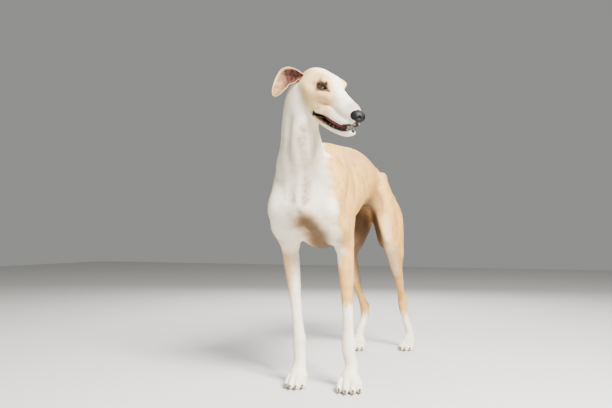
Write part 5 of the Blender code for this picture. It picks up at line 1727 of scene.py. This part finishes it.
def coat_material(looks, name, tufts):
    """The short coat, as the skin and the tufts both wear it."""
    material, tree, shader = blank(name, COAT_ROUGHNESS, 0.22)
    broad = noise(tree, 38, 3.0)
    fine = noise(tree, 3.2, 3.0, 0.6)
    ragged = calculate(tree, "MULTIPLY", calculate(tree, "SUBTRACT", fine, 0.5), 0.5)
    edge = calculate(tree, "ADD", read(tree, "fawn"), ragged)
    fawn = between(tree, spread(tree, broad, 0.35, 0.68), (*looks.fawn, 1), (*looks.fawn_deep, 1))
    white = between(tree, spread(tree, broad, 0.30, 0.70), (*looks.white, 1), (*looks.white_shade, 1))
    shade = between(tree, edge, white, fawn)
    # Cream-yellow, partly painted shade under the jaw
    shade = tinted(tree, shade, read(tree, "yellow"), 0.60, colour("#d2b878"))
    cloudy = spread(tree, noise(tree, 16, 3.0), 0.3, 0.7)
    patchy = calculate(tree, "ADD", calculate(tree, "MULTIPLY", cloudy, 0.45), 0.40)
    # Thin coat and painted shade: pinkish-brown in the furrows, groins, brisket and elbows, in cloudy patches
    shade = tinted(tree, shade, read(tree, "bare"), patchy, (*looks.bare, 1))
    # Mostly painted shade over some real brown coat: the keel, the groins and the thighs' inner sides darkened
    shade = tinted(tree, shade, read(tree, "dusk"), 0.88, (*looks.dusk, 1))
    shade = tinted(tree, shade, read(tree, "bridge"), 0.75, colour("#93767c"))
    shade = tinted(tree, shade, spread(tree, fine, 0.35, 0.75), 0.10, colour("#8d6b49"))
    if tufts:
        shade = tinted(tree, shade, read(tree, "tip"), 0.16, colour("#fbf3e6"))
    else:
        # The ear's inside: dark brown near its root, partly painted shade deep in the ear's cup, and paler
        # towards the tip
        inner = read(tree, "ear_inside")
        cloud = spread(tree, noise(tree, 9, 3.0), 0.30, 0.70)
        ear_cup_shade = between(tree, cloud, colour("#2e1512"), colour("#6a4034"))
        pale = between(tree, cloud, colour("#87603f"), colour("#ac8560"))
        shade = between(tree, inner, shade, between(tree, read(tree, "ear_outer"), ear_cup_shade, pale))
        shade = tinted(tree, shade, read(tree, "rim"), 0.93, colour("#2a1915"))
        # Dark lip margins, with partly painted shadow below the nose and along the lip's front
        shade = tinted(tree, shade, read(tree, "lip"), 0.98, colour("#150908"))
        wet = spread(tree, noise(tree, 7, 3.0), 0.35, 0.65)
        mouth = between(tree, wet, colour("#4e1d20"), colour("#74312f"))
        shade = between(tree, read(tree, "lining"), shade, mouth)
        rough = add(tree, "ShaderNodeMapRange", {}, {"Value": read(tree, "lining")})
        rough.inputs["To Min"].default_value = COAT_ROUGHNESS
        rough.inputs["To Max"].default_value = LINING_ROUGHNESS
        tree.links.new(rough.outputs["Result"], shader.inputs["Roughness"])
        bumped(tree, shader, noise(tree, 0.9, 4.0, 0.7, (1.0, 1.0, 0.45)), 0.45, 0.0007)
    tree.links.new(shade, shader.inputs["Base Color"])
    return material


# The small pieces

def joined(name, parts):
    """Several closed shells as one object."""
    mesh = bmesh.new()
    for part in parts:
        mesh.from_mesh(part.data)
        bpy.data.objects.remove(part)
    return linked(name, mesh)


def build_eye(side):
    """An eyeball, with the angle from the direction of its gaze kept at each point."""
    made = eye_ball("eye_" + side + "_wet", eye_centre(side), EYE_RADIUS, 48, 32)
    look = HEAD_AXES @ (lid_directions(side)[0] + np.array([0.10, 0, -0.03]))
    look = unit(look)
    out = (points_of(made) - eye_centre(side)) / EYE_RADIUS
    attribute(made, "iris", np.arccos(np.clip(out @ look, -1, 1)))
    return made


def eye_material(looks):
    material, tree, shader = blank("Eye", 0.08, 0.4)
    angle = read(tree, "iris")
    fibres = noise(tree, 0.8, 3.0, 0.7)
    ring = between(tree, spread(tree, fibres, 0.3, 0.7), (*looks.iris, 1), colour("#2a1b10"))
    shade = between(tree, spread(tree, angle, 0.24, 0.30), colour("#060404"), ring)
    shade = between(tree, spread(tree, angle, 0.52, 0.62), shade, colour("#140c08"))
    shade = between(tree, spread(tree, angle, 0.92, 1.04), shade, colour("#33241e"))
    tree.links.new(shade, shader.inputs["Base Color"])
    shader.inputs["Coat Weight"].default_value = 0.4
    shader.inputs["Coat Roughness"].default_value = 0.02
    return material


def build_nose():
    made = skin(0.0010, nose_shapes())
    made.name = "nose_leather"
    return made


NOSE_PEBBLE_MM = 1.5


def nose_material(looks):
    material, tree, shader = blank("Nose leather", 0.58, 0.25)
    place = add(tree, "ShaderNodeTexCoord").outputs["Object"]
    pebbles = {"Scale": 1000 / NOSE_PEBBLE_MM}
    cells = add(tree, "ShaderNodeTexVoronoi", pebbles, {"Vector": place}).outputs["Distance"]
    shade = between(tree, spread(tree, noise(tree, 6, 2.0), 0.35, 0.7), (*looks.nose, 1), colour("#171214"))
    bumped(tree, shader, cells, 0.35, 0.0004, invert=True)
    tree.links.new(shade, shader.inputs["Base Color"])
    return material


def build_tongue():
    made = skin(0.0014, tongue_shapes())
    made.name = "tongue_wet"
    return made


def tongue_material(looks):
    material, tree, shader = blank("Tongue", 0.30, 0.5)
    fine = noise(tree, 1.2, 3.0, 0.6)
    shade = between(tree, spread(tree, fine, 0.3, 0.7), (*looks.tongue, 1), colour("#6f3233"))
    bumped(tree, shader, fine, 0.4, 0.0005)
    tree.links.new(shade, shader.inputs["Base Color"])
    shader.inputs["Subsurface Weight"].default_value = 0.1
    return material


def tooth_material(looks):
    material, tree, shader = blank("Tooth enamel", 0.22, 0.5)
    shade = between(tree, spread(tree, noise(tree, 4, 2.0), 0.3, 0.7), (*looks.tooth, 1), colour("#cfc0a0"))
    tree.links.new(shade, shader.inputs["Base Color"])
    return material


def build_claws():
    cones = []
    for side in SIGN:
        for place, turn, size in (
            (FORE_PAW, FORE_PAW_TURN, FORE_PAW_SIZE[side]),
            (HIND_PAW, HIND_PAW_TURN, HIND_PAW_SIZE),
        ):
            for points in claw_stations(place[side], turn[side], *size):
                rows = smooth_rows(np.array(points, float), 4)
                radii = np.interp(np.linspace(0, 2, len(rows)), (0, 1, 2), (0.0036, 0.0029, 0.0010))
                cones.append(cone(rows, radii, 12))
    return joined("claws_all", cones)


def claw_material(looks):
    material, tree, shader = blank("Claw", 0.36, 0.4)
    streak = noise(tree, 2.0, 3.0, 0.6, (1.0, 0.25, 1.0))
    shade = between(tree, spread(tree, streak, 0.3, 0.7), (*looks.claw, 1), colour("#3d3129"))
    tree.links.new(shade, shader.inputs["Base Color"])
    return material


WHISKER_ROWS = 3
WHISKERS_A_ROW = 4


def build_whiskers(length, surface):
    """Fine stiff hairs on the muzzle's sides, bent backwards."""
    cones = []
    rng = np.random.default_rng(5)
    for s in SIGN.values():
        cells = [(i, j) for j in range(WHISKER_ROWS) for i in range(WHISKERS_A_ROW)]
        for i, j in cells:
            root = (0.108 - 0.013 * i, (0.017 + 0.0022 * i) * s * 1.3, -0.047 - 0.006 * j)
            place, normal, _, _ = surface.find_nearest(Vector(on_head(root)))
            out = HEAD_AXES @ np.array([-0.55, 0.75 * s, -0.25 + 0.1 * rng.random()])
            out = unit(out)
            bend = HEAD_AXES @ np.array([-0.35, 0.0, -0.10])
            reach = length * (0.7 + 0.5 * rng.random())
            shares = np.linspace(0, 1, 5)[:, None]
            line = np.array(place) + reach * (out * shares + bend * shares**2) - 0.001 * np.array(normal)
            cones.append(cone(line, np.linspace(0.00016, 0.00004, 5), 5))
    return joined("whiskers", cones)


# The coat's tufts

def coat_lines():
    """Where the coat runs: places down the trunk, neck, tail and each leg, and its direction there."""
    shapes = trunk()[:1] + neck()[:1] + tail()[:1]
    for side in SIGN:
        shapes += [s for s in foreleg(side) + hindleg(side) if isinstance(s, Shape) and len(s.rows) > 8]
    places, ways = [], []
    for shape in shapes:
        line = shape.rows[:, :3]
        way = np.gradient(line, axis=0)
        places.append(line)
        ways.append(way / np.linalg.norm(way, axis=1, keepdims=True) + (0, 0, -0.5))
    return np.vstack(places), np.vstack(ways)


# Over what distance the coat's direction changes, and how many roots are worked out at once
COAT_MIX_REACH = 0.05
ROOTS_AT_ONCE = 4000


def coat_ways(roots, lines):
    """The coat's direction at each root, mixed from the lines near it; on the head it runs backwards."""
    places, ways = lines
    found = np.empty_like(roots)
    for start in range(0, len(roots), ROOTS_AT_ONCE):
        part = roots[start : start + ROOTS_AT_ONCE]
        apart = ((part[:, None] - places[None]) ** 2).sum(axis=2)
        share = np.exp(-(apart - apart.min(axis=1, keepdims=True)) / COAT_MIX_REACH**2)
        found[start : start + ROOTS_AT_ONCE] = share @ ways / share.sum(axis=1, keepdims=True)
    back = ramp(to_head(roots) @ np.array(NAPE_TO_BROW), -0.110, -0.060)
    back = back * (np.linalg.norm(to_head(roots), axis=1) < 0.20)
    return found * (1 - back)[:, None] - HEAD_AXES[:, 0] * back[:, None]


def triangles_of(made):
    made.data.calc_loop_triangles()
    corners = np.empty(len(made.data.loop_triangles) * 3, np.int32)
    made.data.loop_triangles.foreach_get("vertices", corners)
    return corners.reshape(-1, 3)


def normals_of(made):
    flat = np.empty(len(made.data.vertices) * 3)
    made.data.vertices.foreach_get("normal", flat)
    return flat.reshape(-1, 3)


def sown(made, count, density, seed):
    """Points spread over the skin by area times density: their triangle, and their shares of its corners."""
    corners = triangles_of(made)
    points = points_of(made)
    a, b, c = (points[corners[:, k]] for k in range(3))
    area = 0.5 * np.linalg.norm(np.cross(b - a, c - a), axis=1)
    weight = area * density[corners].mean(axis=1)
    rng = np.random.default_rng(seed)
    chosen = np.sort(rng.choice(len(corners), count, p=weight / weight.sum()))
    u, v = rng.random(count), rng.random(count)
    over = u + v > 1
    u[over], v[over] = 1 - u[over], 1 - v[over]
    shares = np.stack([1 - u - v, u, v], axis=1)
    return corners[chosen], shares, rng


def atlas_place(points, normals):
    """A flat unwrap of the body: six sides, each for the left and the right half, in twelve cells."""
    axis = np.abs(normals).argmax(axis=1)
    sign = np.take_along_axis(normals, axis[:, None], 1)[:, 0] > 0
    half = points[:, 0] > 0
    cell = axis * 4 + sign * 2 + half
    low, high = points.min(axis=0), points.max(axis=0)
    unit = (points - low) / (high - low).max()
    other = np.array([(1, 2), (0, 2), (0, 1)])[axis]
    across = np.take_along_axis(unit, other[:, :1], 1)[:, 0]
    upward = np.take_along_axis(unit, other[:, 1:], 1)[:, 0]
    return np.stack([(cell % 4 + 0.02 + 0.95 * across) / 4, (cell // 4 + 0.02 + 0.95 * upward) / 3], axis=1)


def build_tufts(made, name, count, length, seed, lines, marks):
    """A piece of coat: flat tufts that lie along the body, each a thin closed spindle."""
    points, normals = points_of(made), normals_of(made)
    hairless = marks["lining"] + marks["lip"] + marks["rim"] + 2 * marks["ear_inside"] + 0.75 * marks["bare"]
    keep = 1 - np.clip(hairless, 0, 1)
    corners, shares, rng = sown(made, count, keep + 1e-6, seed)
    root = (points[corners] * shares[:, :, None]).sum(axis=1)
    out = (normals[corners] * shares[:, :, None]).sum(axis=1)
    out = out / np.linalg.norm(out, axis=1, keepdims=True)
    way = coat_ways(root, lines) + 0.10 * rng.standard_normal(root.shape)
    way = way - out * (way * out).sum(axis=1)[:, None]
    way = way / np.maximum(np.linalg.norm(way, axis=1, keepdims=True), 1e-6)
    side = np.cross(out, way)
    face = np.linalg.norm(to_head(root), axis=1)
    short = 0.35 + 0.65 * ramp(face, 0.10, 0.20)
    short = short * (0.45 + 0.55 * ramp(root[:, 2], 0.05, 0.22))
    reach = length * short * (0.75 + 0.5 * rng.random(count))
    lift = np.radians(1 + 3 * rng.random(count))
    tip = root + reach[:, None] * (way * np.cos(lift)[:, None] + out * np.sin(lift)[:, None])
    broad = 0.07 * reach + 0.0001
    base = root - 0.0002 * out
    middle = base * 0.55 + tip * 0.45 + 0.00010 * out
    half = side * broad[:, None]
    verts = np.stack([base - way * 0.0006, middle - half, middle + half, tip], axis=1)
    data = bpy.data.meshes.new(name)
    start = 4 * np.arange(count)[:, None, None]
    faces = (start + np.array([(0, 2, 1), (1, 2, 3), (0, 1, 3), (0, 3, 2)])[None]).reshape(-1, 3)
    data.vertices.add(4 * count)
    data.vertices.foreach_set("co", verts.ravel())
    data.loops.add(faces.size)
    data.loops.foreach_set("vertex_index", faces.ravel().astype(np.int32))
    data.polygons.add(len(faces))
    data.polygons.foreach_set("loop_start", (3 * np.arange(len(faces))).astype(np.int32))
    data.update(calc_edges=True)
    coat = bpy.data.objects.new(name, data)
    bpy.context.scene.collection.objects.link(coat)
    for key in ("fawn", "bare", "dusk", "bridge", "yellow"):
        value = (marks[key][corners] * shares).sum(axis=1)
        attribute(coat, key, np.repeat(value, 4))
    attribute(coat, "tip", np.tile((0.0, 0.3, 0.3, 1.0), count) * np.repeat(rng.random(count), 4))
    place = atlas_place(root, out)
    patch = 0.003 * np.array([(0.1, 0.1), (0.9, 0.1), (0.1, 0.9), (0.9, 0.9)])
    layer = data.uv_layers.new(name="OFBake")
    spots = (place[:, None, :] + patch[None]).reshape(-1, 2)[faces.ravel()]
    layer.data.foreach_set("uv", np.clip(spots, 0, 1).ravel())
    return coat


# The add-on

def tint(name, description, code):
    return FloatVectorProperty(name=name, description=description, subtype="COLOR", default=colour(code)[:3])


class CoatLooks(bpy.types.PropertyGroup):
    fawn: tint("Fawn", "Colour of the fawn coat", "#dba95c")
    fawn_deep: tint("Deep fawn", "Its darker patches", "#cb9449")
    white: tint("White", "Colour of the white coat", "#f3ead4")
    white_shade: tint("White, shaded", "Its duller patches", "#e5d9c0")
    # Partly thin coat where the skin shows through, partly painted shade in the furrows and groins
    bare: tint("Thin coat", "Colour where the skin shows through", "#8a6850")
    # Mostly painted shade over some real brown coat, between and behind the legs
    dusk: tint("Shaded coat", "Colour between and behind the legs", "#4c3826")
    tuft_length: FloatProperty(name="Tuft length", description="Longest tufts", default=0.0036, unit="LENGTH")
    tufts: IntProperty(name="Tufts", description="Tufts in each coat piece", default=48000, max=49000)


class FaceLooks(bpy.types.PropertyGroup):
    iris: tint("Iris", "Colour of the iris", "#4a3828")
    nose: tint("Nose", "Colour of the nose leather", "#0a0809")
    tongue: tint("Tongue", "Colour of the tongue", "#8e4a4a")
    tooth: tint("Teeth", "Colour of the teeth", "#e6dcc4")
    claw: tint("Claws", "Colour of the claws", "#6a5a4c")
    whisker_length: FloatProperty(
        name="Whisker length", description="Longest whiskers", default=0.013, unit="LENGTH"
    )


class StageLooks(bpy.types.PropertyGroup):
    floor: tint("Floor", "Colour of the floor", "#cfcdc8")
    key_power: FloatProperty(name="Key light", description="Power of the main light in watts", default=480.0)


COAT_PIECES = 3

# What the skin's operator leaves for the coat's
KEPT = {}


class GREYHOUND_OT_skin(bpy.types.Operator):
    """One skin over the whole body, with its markings"""

    bl_idname = "greyhound.skin"
    bl_label = "Skin"

    def execute(self, context):
        made, shapes = build_skin()
        points = points_of(made)
        marks = markings(points, shapes)
        flap, marks["ear_inside"], marks["ear_outer"] = ear_markings(points, normals_of(made))
        marks["fawn"] = np.maximum(marks["fawn"], 0.75 * flap)
        for name, values in marks.items():
            attribute(made, name, values)
        KEPT["marks"] = marks
        finish_piece(made, coat_material(context.scene.greyhound_coat, "Coat", False), FLESH)
        return {"FINISHED"}


class GREYHOUND_OT_coat(bpy.types.Operator):
    """Short tufts over the skin, in three pieces"""

    bl_idname = "greyhound.coat"
    bl_label = "Coat"

    def execute(self, context):
        looks = context.scene.greyhound_coat
        made = bpy.data.objects["skin"]
        packed = points_of(made)
        place_points(made, packed - shift_to_frame())
        material = coat_material(looks, "Coat tufts", True)
        lines = coat_lines()
        pieces = []
        for k in range(COAT_PIECES):
            name = f"coat_{k + 1}"
            pieces.append(build_tufts(made, name, looks.tufts, looks.tuft_length, k, lines, KEPT["marks"]))
        place_points(made, packed)
        for piece in pieces:
            finish_piece(piece, material)
        return {"FINISHED"}


class GREYHOUND_OT_eyes(bpy.types.Operator):
    """Two wet eyes"""

    bl_idname = "greyhound.eyes"
    bl_label = "Eyes"

    def execute(self, context):
        material = eye_material(context.scene.greyhound_face)
        for side in SIGN:
            finish_piece(build_eye(side), material, (f"eye_{side}",))
        return {"FINISHED"}


class GREYHOUND_OT_nose(bpy.types.Operator):
    """The pebbled nose leather with its nostrils"""

    bl_idname = "greyhound.nose"
    bl_label = "Nose"

    def execute(self, context):
        finish_piece(build_nose(), nose_material(context.scene.greyhound_face), ("nose",))
        return {"FINISHED"}


class GREYHOUND_OT_mouth(bpy.types.Operator):
    """The tongue and both rows of teeth"""

    bl_idname = "greyhound.mouth"
    bl_label = "Mouth"

    def execute(self, context):
        looks = context.scene.greyhound_face
        finish_piece(build_tongue(), tongue_material(looks), ("tongue",))
        enamel = tooth_material(looks)
        finish_piece(joined("teeth_upper", upper_teeth()), enamel)
        finish_piece(joined("teeth_lower", lower_teeth()), enamel)
        return {"FINISHED"}


class GREYHOUND_OT_claws(bpy.types.Operator):
    """Sixteen blunt claws"""

    bl_idname = "greyhound.claws"
    bl_label = "Claws"

    def execute(self, context):
        finish_piece(build_claws(), claw_material(context.scene.greyhound_face))
        return {"FINISHED"}


class GREYHOUND_OT_whiskers(bpy.types.Operator):
    """Fine whiskers on the muzzle"""

    bl_idname = "greyhound.whiskers"
    bl_label = "Whiskers"

    def execute(self, context):
        made = bpy.data.objects["skin"]
        packed = points_of(made)
        place_points(made, packed - shift_to_frame())
        surface = BVHTree.FromPolygons([Vector(p) for p in points_of(made)], triangles_of(made).tolist())
        place_points(made, packed)
        material, _, shader = blank("Whisker", 0.4)
        shader.inputs["Base Color"].default_value = colour("#e9e2d6")
        whiskers = build_whiskers(context.scene.greyhound_face.whisker_length, surface)
        finish_piece(whiskers, material)
        return {"FINISHED"}


class GREYHOUND_OT_stage(bpy.types.Operator):
    """A plain pale floor, soft lights and the photo's camera"""

    bl_idname = "greyhound.stage"
    bl_label = "Stage"

    def execute(self, context):
        looks = context.scene.greyhound_stage
        shift = Vector(shift_to_frame())
        deselect()
        bpy.ops.mesh.primitive_plane_add(size=14)
        floor = context.object
        floor.name = "floor"
        material, _, shader = blank("Floor", 0.8, 0.2)
        shader.inputs["Base Color"].default_value = (*looks.floor, 1)
        floor.data.materials.append(material)
        world = bpy.data.worlds.new("Studio")
        world.use_nodes = True
        sky = world.node_tree.nodes["Background"]
        sky.inputs["Color"].default_value = colour("#e6e6e4")
        sky.inputs["Strength"].default_value = 0.38
        context.scene.world = world
        aim = Vector((0, -0.1, 0.45)) + shift
        for name, place, power, size in (
            ("key", (1.7, -1.3, 2.3), looks.key_power, 1.0),
            ("fill", (-1.8, -1.6, 1.2), looks.key_power * 0.03, 2.2),
            ("back", (-0.6, 2.4, 1.9), looks.key_power * 0.20, 1.6),
        ):
            deselect()
            bpy.ops.object.light_add(type="AREA", location=Vector(place) + shift)
            light = context.object
            light.name = name
            light.data.energy = power
            light.data.size = size
            light.rotation_euler = (aim - light.location).to_track_quat("-Z", "Y").to_euler()
        deselect()
        bpy.ops.object.camera_add(location=CAMERA_PLACE + shift)
        camera = context.object
        camera.rotation_euler = (math.radians(90) + CAMERA_RISE, 0, CAMERA_TURN)
        camera.data.lens = CAMERA_LENS
        camera.data.sensor_width = 36
        context.scene.camera = camera
        return {"FINISHED"}


STEPS = ("skin", "eyes", "nose", "mouth", "claws", "whiskers", "coat", "stage")


class GREYHOUND_PT_panel(bpy.types.Panel):
    """The pieces in the order in which they're made"""

    bl_idname = "GREYHOUND_PT_panel"
    bl_label = "Greyhound"
    bl_space_type = "VIEW_3D"
    bl_region_type = "UI"
    bl_category = "Greyhound"

    def draw(self, context):
        scene = context.scene
        for group in (scene.greyhound_coat, scene.greyhound_face, scene.greyhound_stage):
            for name in group.bl_rna.properties.keys():
                if name not in ("rna_type", "name"):
                    self.layout.prop(group, name)
        for step in STEPS:
            self.layout.operator("greyhound." + step)


CLASSES = (
    CoatLooks,
    FaceLooks,
    StageLooks,
    GREYHOUND_OT_skin,
    GREYHOUND_OT_coat,
    GREYHOUND_OT_eyes,
    GREYHOUND_OT_nose,
    GREYHOUND_OT_mouth,
    GREYHOUND_OT_claws,
    GREYHOUND_OT_whiskers,
    GREYHOUND_OT_stage,
    GREYHOUND_PT_panel,
)


def register():
    for made in CLASSES:
        bpy.utils.register_class(made)
    bpy.types.Scene.greyhound_coat = PointerProperty(type=CoatLooks)
    bpy.types.Scene.greyhound_face = PointerProperty(type=FaceLooks)
    bpy.types.Scene.greyhound_stage = PointerProperty(type=StageLooks)


def unregister():
    del bpy.types.Scene.greyhound_stage
    del bpy.types.Scene.greyhound_face
    del bpy.types.Scene.greyhound_coat
    for made in reversed(CLASSES):
        bpy.utils.unregister_class(made)


def main():
    register()
    for step in STEPS:
        getattr(bpy.ops.greyhound, step)()


if __name__ == "__main__":
    main()
